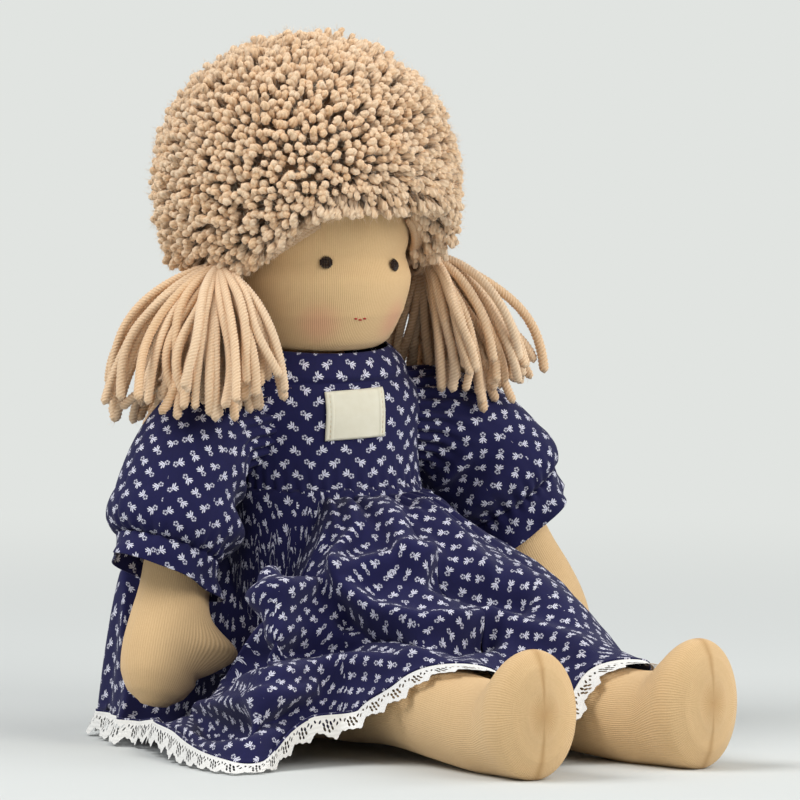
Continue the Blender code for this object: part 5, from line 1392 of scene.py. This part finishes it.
    def button(self, sizes, name):
        """A turned button: rings go round a rim into a dish, with four holes as dimples in it."""
        low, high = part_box("back_button_" + name)
        middle = [(a + b) / 2 for a, b in zip(low, high)]
        turn = np.linspace(0, 1, 64, endpoint=False)
        spin = 2 * math.pi * turn
        radius, level = np.array(BUTTON_SHARES).T
        radius = sizes.button_radius * radius
        level = level * (high[1] - low[1]) / 2
        px = radius[:, None] * np.cos(spin)
        pz = radius[:, None] * np.sin(spin)
        hole = 0
        for a in (45, 135, 225, 315):
            cx, cz = 0.001 * math.cos(math.radians(a)), 0.001 * math.sin(math.radians(a))
            hole = hole + np.exp(-(((px - cx) ** 2 + (pz - cz) ** 2) / 0.00042 ** 2))
        py = level[:, None] - 0.0006 * hole * (np.arange(12) > 6)[:, None]
        grid = np.stack([middle[0] + px, middle[1] + py, middle[2] + pz], -1)
        mesh = surface(
            "button", grid, round_uv(turn, 0.02, np.linspace(0, 0.01, 12)),
            start=(middle[0], middle[1] + level[0], middle[2]),
            end=(middle[0], middle[1] + level[-1], middle[2]),
        )
        button = finish_piece("button_" + name, mesh, "button plastic", "body")
        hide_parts("back_button_" + name)


# Place along the bend, half height and half depth over the sleeve's puff.
SLEEVE_SHARES = (
    (0.00, 0.65, 0.65), (0.18, 0.81, 0.76), (0.36, 0.90, 0.86), (0.54, 0.95, 0.92), (0.72, 0.99, 0.97),
    (0.88, 0.97, 0.97), (1.00, 0.84, 0.86),
)
# Where each sleeve ends, over the arm's length.
SLEEVE_END_SHARES = {"right": 0.44, "left": 0.38}


def sleeve_frame(sizes, side, share):
    """Middle and upward-outward axis of the sleeve's rings, as (outward, downward) pairs.

    The middle goes from the body's side over the shoulder to the arm's axis along a quadratic curve.
    """
    share = np.asarray(share, float)
    point, axis = arm_line(sizes, side, SLEEVE_END_SHARES[side] * share)
    full = math.pi / 2 - np.arctan2(axis[:, 0], axis[:, 1])
    blend = np.minimum(1.0, share / 0.62)
    turn = full * blend
    up = np.stack([np.sin(turn), -np.cos(turn)], -1)
    row = read(BODY_SHARES, np.array(sizes.shoulder_z / sizes.neck_top))
    side_x = sizes.body_half_width * row[2] + 0.0013
    start = np.array([-(sizes.shoulder_x - side_x - 0.0003), 0.0])
    knee = np.array([sizes.arm_radius / 6, sizes.arm_radius / 6])
    far = arm_line(sizes, side, np.array(SLEEVE_END_SHARES[side] * 0.62))[0]
    b = blend[:, None]
    near = (1 - b) ** 2 * start + 2 * b * (1 - b) * knee + b ** 2 * far
    middle = np.where((share < 0.62)[:, None], near, point)
    hang = sizes.sleeve_hang * np.sin(np.minimum(1.0, share / 0.8) * math.pi / 2) ** 2
    return middle + up * hang[:, None], up


class DOLL_OT_sleeves(bpy.types.Operator):
    """Adds the puffed sleeves, gathered at the armhole and drawn in by a tuck over the hem"""
    bl_idname = "doll.sleeves"
    bl_label = "Sleeves"

    def execute(self, context):
        sizes = context.scene.doll_sizes
        for side, sign in SIDES.items():
            self.sleeve(sizes, side, sign)
        return {"FINISHED"}

    def sleeve(self, sizes, side, sign):
        """Ovals about a bent middle, past the shoulder and over the hem's band, which follows the
        arm. Gathers at the armhole, a tuck over the hem, folds and a sag move them in and out."""
        turn = np.linspace(0, 1, 200, endpoint=False)
        spin = 2 * math.pi * turn
        share = np.linspace(0, 1, 100)
        fall = np.linspace(0, 1, 34)[1:]
        end_share = SLEEVE_END_SHARES[side]
        middle, up = sleeve_frame(sizes, side, share)
        middle[:, 0] -= 0.009 * (1 - ease(share, 0.0, 0.12))
        _, lean = arm_line(sizes, side, np.array(end_share))
        middle = np.vstack([middle, middle[-1] + lean * (0.0003 + sizes.cuff_length * fall)[:, None]])
        up = np.vstack([up, np.repeat(up[-1:], len(fall), 0)])
        hem = sizes.cuff_radius * (0.97 + 0.05 * fall)
        rows = np.vstack([read(SLEEVE_SHARES, share) * sizes.sleeve_puff, np.stack([hem, hem], -1)])
        s = np.concatenate([share * end_share * sizes.arm_length, 0.051 + sizes.cuff_length * fall])
        along = np.concatenate([share, 1 + fall])[:, None]
        gather = 0.0013 * np.sin(spin * 23 + 0.8 * np.sin(spin * 3)) * np.exp(-(along / 0.22) ** 1.3)
        tuck = 0.0010 * np.sin(spin * 26 + 1.1 * np.sin(spin * 4)) * np.exp(-np.abs(along - 1.0) / 0.10)
        crease = -0.0022 * bell((along - 1.0) / 0.026)
        fold = 0.0030 * ripple(13 + int(sign), 0.045, 0.026 * spin[None] + 0.03 * along, s[:, None])
        inner = bell((turn - 0.42) / 0.10)
        sag = np.sin(2 * math.pi * (along * 2.6 + 0.35 * np.sin(spin)[None])) * inner
        fold = fold + 0.0036 * sag * ease(along, 0.25, 0.5) * (1 - ease(along, 0.92, 1.0))
        wave = 0.0018 * np.sin(spin * 5 + 1.0) * ease(along, 1.1, 2.0)
        dent = gather + tuck + crease + fold * ease(along, 0.05, 0.4) * 0.8 + wave
        tall = rows[:, :1] + dent
        deep = rows[:, 1:] + dent
        tilt = (0.0045 * np.cos(spin) - 0.0015 * np.sin(spin) - 0.0010) * ease(along, 0.55, 1.35)
        out = middle[:, :1] + up[:, :1] * tall * np.cos(spin) - lean[0] * tilt
        down = middle[:, 1:] + up[:, 1:] * tall * np.cos(spin) - lean[1] * tilt
        grid = arm_place(sizes, side, out, down, deep * np.sin(spin))
        uv, breaks = cloth_uv(grid, 8, True)
        mesh = surface("sleeve", grid, uv, breaks=breaks)
        sleeve = finish_piece("dress_sleeve_" + side, mesh, "sprigged cotton", None)
        thicken(sleeve, sizes.cotton)
        point, _ = arm_line(sizes, side, np.array([0.02, 0.36]))
        start, end = arm_place(sizes, side, point[:, 0], point[:, 1], 0.0)
        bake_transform(sleeve)
        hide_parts("sleeve_" + side, "cuff_" + side)
        declare_cloth(grid, True)


# Hem radius over the skirt's length, every 7.5 degrees from +X round over +Y, -X and -Y.
HEM_SHARES = (
    0.62, 0.61, 0.60, 0.585, 0.57, 0.555, 0.54, 0.525, 0.51, 0.495, 0.48, 0.47,
    0.46, 0.47, 0.48, 0.495, 0.51, 0.525, 0.54, 0.55, 0.56, 0.56, 0.56, 0.565,
    0.58, 0.61, 0.66, 0.74, 0.84, 0.95, 1.01, 0.82, 0.76, 0.83, 0.93, 0.95,
    0.95, 0.97, 1.02, 1.01, 0.99, 0.96, 0.92, 0.87, 0.82, 0.76, 0.70, 0.655,
)
# Main folds: direction in turns from +X, reach, half width in turns, height over the fold height.
FOLD_SHARES = (
    (0.675, 0.55, 0.020, 1.0), (0.620, 0.70, 0.022, 1.3), (0.570, 0.62, 0.018, 0.9),
    (0.730, 0.35, 0.016, 1.0), (0.805, 0.66, 0.026, 2.6), (0.850, 0.60, 0.022, 1.2),
    (0.910, 0.55, 0.018, 0.9), (0.980, 0.60, 0.020, 0.8), (0.060, 0.60, 0.022, 1.0),
    (0.140, 0.60, 0.020, 1.0), (0.220, 0.60, 0.022, 1.0), (0.300, 0.60, 0.022, 1.0),
    (0.380, 0.60, 0.022, 1.0), (0.450, 0.60, 0.020, 0.8),
)
SKIRT_WALL = 0.0010


def leg_tent(sizes, x, y, cover):
    """Height of cloth that lies over a leg and falls steeply beside it."""
    best = np.zeros_like(x)
    rows = np.array(LEG_SHARES)
    for sign in SIDES.values():
        share = (y - sizes.hip_y) / (sizes.foot_y - sizes.hip_y)
        middle = sign * (sizes.hip_x + (sizes.foot_x - sizes.hip_x) * share)
        lift = np.interp(share, rows[:5, 0], rows[:5, 3]) * sizes.foot_half_height
        reach = sizes.leg_radius + cover
        aside = np.abs(x - middle)
        bend = math.radians(58)
        round_part = lift + np.sqrt(np.maximum(reach ** 2 - aside ** 2, 0))
        edge = reach * math.sin(bend)
        straight = lift + reach * math.cos(bend) - (aside - edge) * math.tan(bend)
        top = np.where(aside < edge, round_part, straight)
        fade = np.clip((sizes.hip_y + sizes.leg_radius - y) / sizes.leg_radius, 0, 1)
        best = np.maximum(best, top * fade)
    return best


def belly(sizes, x, y):
    """The highest point of the body under the waist over each place: the last level whose oval
    still holds it, read straight between levels."""
    z = np.linspace(0.03, sizes.waist_z, 40)
    rows = read(BODY_SHARES, z / sizes.neck_top)
    low, high = -rows[:, 0] * sizes.body_half_depth, rows[:, 1] * sizes.body_half_depth
    shape = (-1,) + (1,) * x.ndim
    wide = (rows[:, 2] * sizes.body_half_width + 0.0012).reshape(shape)
    middle, half = ((low + high) / 2).reshape(shape), ((high - low) / 2 + 0.0012).reshape(shape)
    held = (x / wide) ** 2 + ((y - middle) / half) ** 2
    last = len(z) - 1 - np.argmax((held < 1)[::-1], axis=0)
    k = np.minimum(last, len(z) - 2)
    a = np.take_along_axis(held, k[None], 0)[0]
    b = np.take_along_axis(held, k[None] + 1, 0)[0]
    part = np.clip((1 - a) / np.where(np.abs(b - a) > 1e-6, b - a, 1), 0, 1)
    return np.where((held < 1).any(axis=0), z[k] + part * (z[1] - z[0]), 0.0)


def arm_room(sizes, x, y):
    """The highest that the skirt may lie under the sleeves and hands."""
    room = np.full_like(x, sizes.waist_z)
    space = 0.0022
    for side in SIDES:
        _, up = sleeve_frame(sizes, side, np.ones(1))
        hem_share = SLEEVE_END_SHARES[side] + sizes.cuff_length / sizes.arm_length
        lumps = [(hem_share, 0.0, 0.0, sizes.sleeve_puff, -up[0, 1] * sizes.cuff_radius)]
        for share in (0.60, 0.72, 0.84, 0.94):
            lumps.append((share, 0.0, 0.0, sizes.hand_radius, sizes.hand_radius * 0.8))
        lumps.append((
            THUMB_PLACE_SHARE, -sizes.hand_radius, sizes.hand_radius * 0.8, sizes.thumb_reach,
            sizes.thumb_reach,
        ))
        for share, out, ahead, radius, depth in lumps:
            point, _ = arm_line(sizes, side, np.array(share))
            hub = arm_place(sizes, side, point[0] + out, point[1], ahead)
            away = np.hypot(x - hub[0], y - hub[1]) - radius - space
            under = hub[2] - abs(depth) - space
            room = np.minimum(room, under + 2.2 * soft_max(away, 0, space))
    return room


# Height of the hem's seam over the floor, by degrees round the skirt.
HEM_RISE = (
    (0, 0.0105), (180, 0.0105), (197, 0.0140), (205, 0.0120), (212, 0.0090), (220, 0.0055), (226, 0.0045),
    (229.5, 0.0150), (233, 0.0200), (240, 0.0205), (246, 0.0240), (252, 0.0260), (262, 0.0140),
    (275, 0.0105), (360, 0.0105),
)
# The skirt's drawn folds, as the front left view shows them: points across and up, in metres from
# the foot of the doll's middle, then half width and height, which is less than nothing for a valley.
DRAPES = (
    (((-0.026, 0.070), (-0.008, 0.075), (0.016, 0.081), (0.040, 0.086)), 0.0050, 0.0062),
    (((-0.016, 0.094), (-0.002, 0.087)), 0.0085, -0.0085),
    (((0.004, 0.088), (0.009, 0.074), (0.020, 0.065), (0.040, 0.059), (0.066, 0.062)), 0.0042, 0.0060),
    (((0.010, 0.064), (0.026, 0.057), (0.046, 0.052), (0.068, 0.057)), 0.0042, -0.0065),
    (((-0.030, 0.049), (-0.012, 0.051), (0.014, 0.055), (0.030, 0.053)), 0.0050, -0.0075),
    (((-0.032, 0.036), (-0.008, 0.043), (0.020, 0.047), (0.044, 0.049)), 0.0055, 0.0045),
    (((-0.054, 0.026), (-0.036, 0.027), (-0.020, 0.030), (-0.006, 0.034)), 0.0042, 0.0050),
    (((-0.046, 0.018), (-0.026, 0.022), (-0.012, 0.026)), 0.0036, -0.0050),
    (((-0.028, 0.108), (-0.034, 0.085), (-0.030, 0.062), (-0.036, 0.040)), 0.0052, -0.0100),
    (((-0.018, 0.112), (-0.022, 0.096), (-0.020, 0.080)), 0.0034, 0.0040),
    (((0.000, 0.112), (-0.006, 0.098), (-0.018, 0.086)), 0.0030, 0.0034),
    (((0.010, 0.112), (0.014, 0.098), (0.006, 0.086)), 0.0030, 0.0034),
    (((0.022, 0.113), (0.030, 0.100), (0.034, 0.088)), 0.0034, 0.0036),
    (((0.040, 0.106), (0.054, 0.094), (0.066, 0.082)), 0.0040, 0.0040),
    (((0.046, 0.080), (0.062, 0.074), (0.080, 0.070)), 0.0042, -0.0050),
    (((0.072, 0.062), (0.090, 0.056), (0.104, 0.050)), 0.0040, 0.0038),
)


def drapes(x, y, z):
    """Height of the drawn folds over each place: for each run of points, a bell over the distance
    from the run's nearest stretch, summed."""
    across = 0.819 * x - 0.574 * y
    up = 0.996 * z + 0.087 * (0.574 * x + 0.819 * y + 0.191)
    total = np.zeros_like(x)
    for points, width, height in DRAPES:
        best = np.full_like(x, 1.0)
        for (ax, ay), (bx, by) in zip(points[:-1], points[1:]):
            long = (bx - ax) ** 2 + (by - ay) ** 2
            t = np.clip(((across - ax) * (bx - ax) + (up - ay) * (by - ay)) / long, 0, 1)
            best = np.minimum(best, np.hypot(across - ax - t * (bx - ax), up - ay - t * (by - ay)))
        total = total + 1.3 * height * bell(best / width)
    return total


def flat_before_hand(sizes, x, y):
    """How much the cloth is pressed down under the right hand and before it, from 0 to 1: a bell
    over the distance from a line that runs from the hand to the front left."""
    point, _ = arm_line(sizes, "right", np.array(0.86))
    hub = arm_place(sizes, "right", point[0], point[1], 0.0)
    ahead = np.array([-0.36, -0.93])
    t = np.clip((x - hub[0]) * ahead[0] + (y - hub[1]) * ahead[1], -0.004, 0.075)
    away = np.hypot(x - hub[0] - t * ahead[0], y - hub[1] - t * ahead[1])
    return np.exp(-((away / 0.024) ** 4))


def skirt_points(sizes, turn, share, past=0.0):
    """The skirt's face: from the waist's oval straight out to the hem, at the height of a falling
    curve top (1 - share^p) with its folds, or of the cloth over the legs where that is higher, and
    held under the arms. past is 0 at the hem and 1 at the lace's edge, which hangs down where it
    can and lies on over the legs."""
    angle = turn * 2 * math.pi
    row = read(BODY_SHARES, np.array(sizes.waist_z / sizes.neck_top))
    low, high = -row[0] * sizes.body_half_depth, row[1] * sizes.body_half_depth
    wide = row[2] * sizes.body_half_width + 0.0003
    waist_x = wide * np.cos(angle)
    waist_y = (low + high) / 2 + ((high - low) / 2 + 0.0003) * np.sin(angle)
    hem = read_round(HEM_SHARES, turn) * sizes.skirt_length
    wave = 0.0022 * np.sin(angle * 17 + 1.3 * np.sin(angle * 5)) + 0.0014 * np.sin(angle * 29 + 2.0)
    hem = hem + wave * ease(share, 0.55, 1.0)
    x = waist_x + (hem * np.cos(angle) - waist_x) * share
    y = waist_y + ((low + high) / 2 + hem * np.sin(angle) - waist_y) * share
    front = 0.5 - 0.5 * np.sin(angle)
    slump = bell((turn - 0.44) / 0.085) + 0.6 * bell((turn - 0.10) / 0.085)
    top = sizes.waist_z - 0.0003
    base = top * (1 - np.clip(share, 0, 1) ** (2.3 - 1.05 * front + 4.5 * slump))
    lap = bell((angle % (2 * math.pi) - 1.5 * math.pi) / 0.5)
    base = base + sizes.hip_z * 0.8 * lap * share
    for direction, reach, width, height in FOLD_SHARES:
        off = np.abs((turn - direction + 0.5) % 1.0 - 0.5)
        ridge = bell(off / width) * bell((share - reach) / 0.28)
        base = base + sizes.fold_height * height * ridge
    base = base - sizes.fold_height * 0.5 * np.sin(math.pi * share) * front
    press = flat_before_hand(sizes, x, y) * ease(share, 0.30, 0.55)
    base = base * (1 - press) + np.minimum(base, 0.0125) * press
    tent = leg_tent(sizes, x, y, 0.0006 + SKIRT_WALL)
    soft = 2 * sizes.fold_height * np.sin(np.clip(share, 0, 1) * math.pi / 2)
    z = soft_max(base, tent, soft * np.clip(tent / sizes.leg_radius, 0, 1))
    pleat = 0.0020 * np.sin(angle * 37 + 1.2 * np.sin(angle * 6)) + 0.0010 * np.sin(angle * 61)
    steep = (share > 0) * np.exp(-share / 0.20) * ease(share, 0.0, 0.04)
    fine = 0.0009 * ripple(17, 0.016, x, y) + 0.0024 * ripple(18, 0.040, x, y)
    rise = drapes(x, y, z) * ease(np.cos(angle - math.radians(250)), -0.25, 0.35)
    rise = rise * ease(share, 0.02, 0.12) * (1 - ease(share, 0.90, 1.0))
    fine = fine * (1 - 0.8 * press)
    rise = rise + pleat * steep + fine * np.sin(math.pi * np.clip(share, 0, 1)) ** 0.7
    if share.shape[0] > 2 and np.ptp(share[:, 0]) > 0:
        grid = np.stack([x, y, z], -1)
        normal = unit(np.cross(np.gradient(grid, axis=0), np.gradient(grid, axis=1)))
        normal = normal * np.where(normal[..., 2:] < 0, -1.0, 1.0)
        x, y, z = np.moveaxis(grid + normal * rise[..., None], -1, 0)
    z = -soft_max(-z, -arm_room(sizes, x, y), sizes.fold_height)
    tent = leg_tent(sizes, x, y, 0.0006 + SKIRT_WALL)
    z = np.maximum(z, tent)
    z = np.maximum(z, belly(sizes, x, y) + 0.0008)
    z = np.where(share <= 0, top, np.minimum(z, top + 0.001))
    hang = sizes.lace_width * 0.90
    over_leg = ease(tent, 0.006, 0.018)
    stand = read(HEM_RISE, turn % 1.0 * 360)[..., 0]
    z = np.maximum(z, stand * ease(share, 0.80, 0.985))
    drop = np.minimum(hang, stand) * (1 - 0.35 * over_leg)
    curl = past * np.maximum(0.25 + 0.75 * over_leg, np.sqrt(1 - (drop / sizes.lace_width) ** 2))
    curl = curl + 0.18 * past * np.sin(angle * 23) * (1 - over_leg)
    heading = unit(np.stack([np.cos(angle), np.sin(angle)], -1))
    x = x + heading[..., 0] * curl * sizes.lace_width
    y = y + heading[..., 1] * curl * sizes.lace_width
    tent = leg_tent(sizes, x, y, 0.0006 + SKIRT_WALL)
    z = np.where(past > 0, np.maximum(z - past * drop, tent), z)
    return np.stack([x, y, np.maximum(z, 0.0010)], -1)


def cloth_uv(grid, columns, wrap):
    """Print coordinates that keep the print's size: u is the way along each row from the middle of
    its strip of cloth and v the mean way down the strip. Gives uv and the shift for each face."""
    rows = np.concatenate([grid, grid[:, :1]], 1) if wrap else grid
    along = np.linalg.norm(np.diff(rows, axis=1), axis=2)
    u = np.concatenate([np.zeros((len(grid), 1)), np.cumsum(along, axis=1)], 1)
    down = np.linalg.norm(np.diff(rows, axis=0), axis=2)
    down = np.concatenate([np.zeros((1, down.shape[1])), np.cumsum(down, axis=0)], 0)
    strip = np.minimum(np.arange(u.shape[1]) * columns // (u.shape[1] - 1), columns - 1)
    middle = ((strip + 0.5) * (u.shape[1] - 1) / columns).astype(int)

    means = np.stack([down[:, strip == k].mean(1) for k in range(columns)], 1)

    def breaks(i, j):
        chosen = middle[j]
        shift = np.stack([u[i, chosen], u[i, chosen], u[i + 1, chosen], u[i + 1, chosen]], -1)
        v = means[:, strip[j[0]]]
        v = np.stack([v[:-1], v[:-1], v[1:], v[1:]], -1)
        return np.stack([strip[j][..., None] * 0.0392 - shift, v], -1)

    return np.stack([u, 0 * u], -1), breaks


class DOLL_OT_skirt(bpy.types.Operator):
    """Adds the gathered skirt, spread over the legs, and the lace along its hem"""
    bl_idname = "doll.skirt"
    bl_label = "Skirt"

    def execute(self, context):
        sizes = context.scene.doll_sizes
        for side, low in (("right", 0.25), ("left", 0.75)):
            self.half(sizes, side, low)
        return {"FINISHED"}

    def half(self, sizes, side, low):
        """Half the skirt: directions in half a turn by shares from waist to hem, with the print in
        twelve strips."""
        turn, share = np.meshgrid(np.linspace(low, low + 0.5, 320), np.linspace(0, 1, 140) ** 1.1)
        grid = skirt_points(sizes, turn, share)
        uv, breaks = cloth_uv(grid, 12, False)
        mesh = surface("skirt", grid, uv, wrap=False, flip=True, breaks=breaks)
        skirt = finish_piece("dress_skirt_" + side, mesh, "sprigged cotton", None)
        thicken(skirt, SKIRT_WALL)
        self.hinge(sizes, skirt, side)
        lace = self.lace(sizes, side, low)
        declare_cloth(grid, False, [lace])
        if side == "right":
            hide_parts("skirt")

    def hinge(self, sizes, piece, side):
        """Bakes the piece's place into its mesh."""
        "leg_" + side
        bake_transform(piece)

    def lace(self, sizes, side, low):
        turn, past = np.meshgrid(np.linspace(low, low + 0.5, 420), np.linspace(0.0, 1, 14))
        grid = skirt_points(sizes, turn, np.ones_like(turn), past + 0.02)
        run = np.append(0, np.cumsum(np.linalg.norm(np.diff(grid[-1], axis=0), axis=1)))
        uv = np.stack([np.broadcast_to(run, turn.shape), past], -1)
        mesh = surface("lace", grid, uv, wrap=False, flip=True)
        lace = finish_piece("hem_lace_" + side, mesh, "eyelet lace", None)
        self.hinge(sizes, lace, side)
        if side == "right":
            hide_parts("skirt_lace")
        return lace


# Stage

class DOLL_OT_stage(bpy.types.Operator):
    """Adds the wide pale floor, the room's plain colour, the lights and the camera"""
    bl_idname = "doll.stage"
    bl_label = "Stage, lights and camera"

    def execute(self, context):
        scene = context.scene
        colours = scene.doll_colours
        scene.view_settings.view_transform = "Standard"
        self.floor(colours)
        self.camera(scene)
        self.light("key", (0.30, -1.65, 1.20), 1.2, 15.5, (1.0, 0.99, 0.96))
        self.light("fill", (1.40, -0.85, 0.95), 1.4, 12.0, (0.98, 0.99, 1.0))
        self.light("back", (-1.25, 0.35, 1.75), 1.3, 30.0, (1.0, 1.0, 1.0))
        self.world(scene)
        return {"FINISHED"}

    def floor(self, colours):
        """A wide level disc. Away from the doll it turns, for the camera alone, into the plain colour
        that the room has too, so that no edge shows."""
        turn = np.linspace(0, 1, 96, endpoint=False)
        reach = np.array([0.25, 0.6, 1.2, 3.0, 16.0])
        grid = ring_of((0, 0, 0), (1, 0, 0), (0, 1, 0), turn)[None] * reach[:, None, None]
        mesh = surface("floor", grid, round_uv(turn, 1.0, np.arange(5)), start=(0, 0, 0), flip=False)
        paint = Paint("pale floor")
        cloud = paint.noise(paint.place(), 1.2, 2.0)
        low = scaled(colours.stage, 0.97)
        paint.set(Base_Color=paint.mix(cloud, tuple(colours.stage), low), Roughness=0.9)
        paint.set(Specular_IOR_Level=0.1)
        away = paint.node("ShaderNodeVectorMath", {"operation": "LENGTH"}, {0: paint.place()}, out=1)
        plain = paint.node("ShaderNodeEmission", {}, {"Color": tuple(colours.room), "Strength": 1.0})
        seen = paint.node("ShaderNodeLightPath", out=0).most(paint.node("ShaderNodeLightPath", out=3))
        seen = seen.most(paint.node("ShaderNodeLightPath", out=6))
        lit = Value(paint, paint.shader.outputs[0])
        both = paint.node("ShaderNodeMixShader", {}, {0: away.step(0.28, 1.0) * seen, 1: lit, 2: plain})
        paint.tree.links.new(both.socket, paint.tree.nodes["Material Output"].inputs["Surface"])
        floor = bpy.data.objects.new("pale_floor", mesh)
        bpy.context.scene.collection.objects.link(floor)
        mesh.materials.append(paint.material)

    def camera(self, scene):
        lens = bpy.data.cameras.new("camera")
        lens.lens = 1350.0
        lens.sensor_width = 36.0
        lens.clip_end = 100.0
        camera = bpy.data.objects.new("camera", lens)
        scene.collection.objects.link(camera)
        target = Vector((0.026, -0.0182, 0.1339))
        camera.location = (-6.831, -9.810, 1.1798)
        camera.rotation_euler = (target - camera.location).to_track_quat("-Z", "Y").to_euler()
        scene.camera = camera

    def light(self, name, where, size, power, tint):
        lamp = bpy.data.lights.new(name, "AREA")
        lamp.shape = "DISK"
        lamp.size = size
        lamp.energy = power
        lamp.color = tint
        thing = bpy.data.objects.new(name, lamp)
        bpy.context.scene.collection.objects.link(thing)
        thing.location = where
        thing.visible_camera = False
        thing.rotation_euler = (Vector((0, 0, 0.1)) - thing.location).to_track_quat("-Z", "Y").to_euler()

    def world(self, scene):
        """Soft light from all round, and the room's plain colour where the camera looks past the floor."""
        world = bpy.data.worlds.new("pale room")
        scene.world = world
        world.use_nodes = True
        nodes, links = world.node_tree.nodes, world.node_tree.links
        soft = nodes["Background"]
        soft.inputs["Color"].default_value = (0.88, 0.90, 0.92, 1.0)
        soft.inputs["Strength"].default_value = 0.42
        plain = nodes.new("ShaderNodeBackground")
        plain.inputs["Color"].default_value = tuple(scene.doll_colours.room)
        path = nodes.new("ShaderNodeLightPath")
        share = path.outputs["Is Camera Ray"]
        for name in ("Is Glossy Ray", "Is Transmission Ray"):
            more = nodes.new("ShaderNodeMath")
            more.operation = "MAXIMUM"
            links.new(share, more.inputs[0])
            links.new(path.outputs[name], more.inputs[1])
            share = more.outputs[0]
        both = nodes.new("ShaderNodeMixShader")
        links.new(share, both.inputs[0])
        links.new(soft.outputs[0], both.inputs[1])
        links.new(plain.outputs[0], both.inputs[2])
        links.new(both.outputs[0], nodes["World Output"].inputs["Surface"])


class DOLL_PT_panel(bpy.types.Panel):
    """Sidebar panel of the doll"""
    bl_idname = "DOLL_PT_panel"
    bl_label = "Rag doll"
    bl_space_type = "VIEW_3D"
    bl_region_type = "UI"
    bl_category = "Doll"

    def draw(self, context):
        for operator in OPERATORS:
            self.layout.operator(operator.bl_idname)
        for group in (context.scene.doll_sizes, context.scene.doll_colours):
            box = self.layout.box()
            for key in group.__annotations__:
                box.prop(group, key)


OPERATORS = (
    DOLL_OT_stage, DOLL_OT_head, DOLL_OT_hair_pile, DOLL_OT_hair_bunches, DOLL_OT_body, DOLL_OT_bodice,
    DOLL_OT_sleeves, DOLL_OT_skirt,
)
CLASSES = (DollSizes, DollColours, *OPERATORS, DOLL_PT_panel)


def register():
    for kind in CLASSES:
        bpy.utils.register_class(kind)
    bpy.types.Scene.doll_sizes = PointerProperty(type=DollSizes)
    bpy.types.Scene.doll_colours = PointerProperty(type=DollColours)


def unregister():
    del bpy.types.Scene.doll_colours
    del bpy.types.Scene.doll_sizes
    for kind in reversed(CLASSES):
        bpy.utils.unregister_class(kind)


def main():
    register()
    for operator in OPERATORS:
        group, name = operator.bl_idname.split(".")
        result = getattr(getattr(bpy.ops, group), name)()
        if result != {"FINISHED"}:
            raise RuntimeError(operator.bl_label + " wasn't made")


if __name__ == "__main__":
    main()
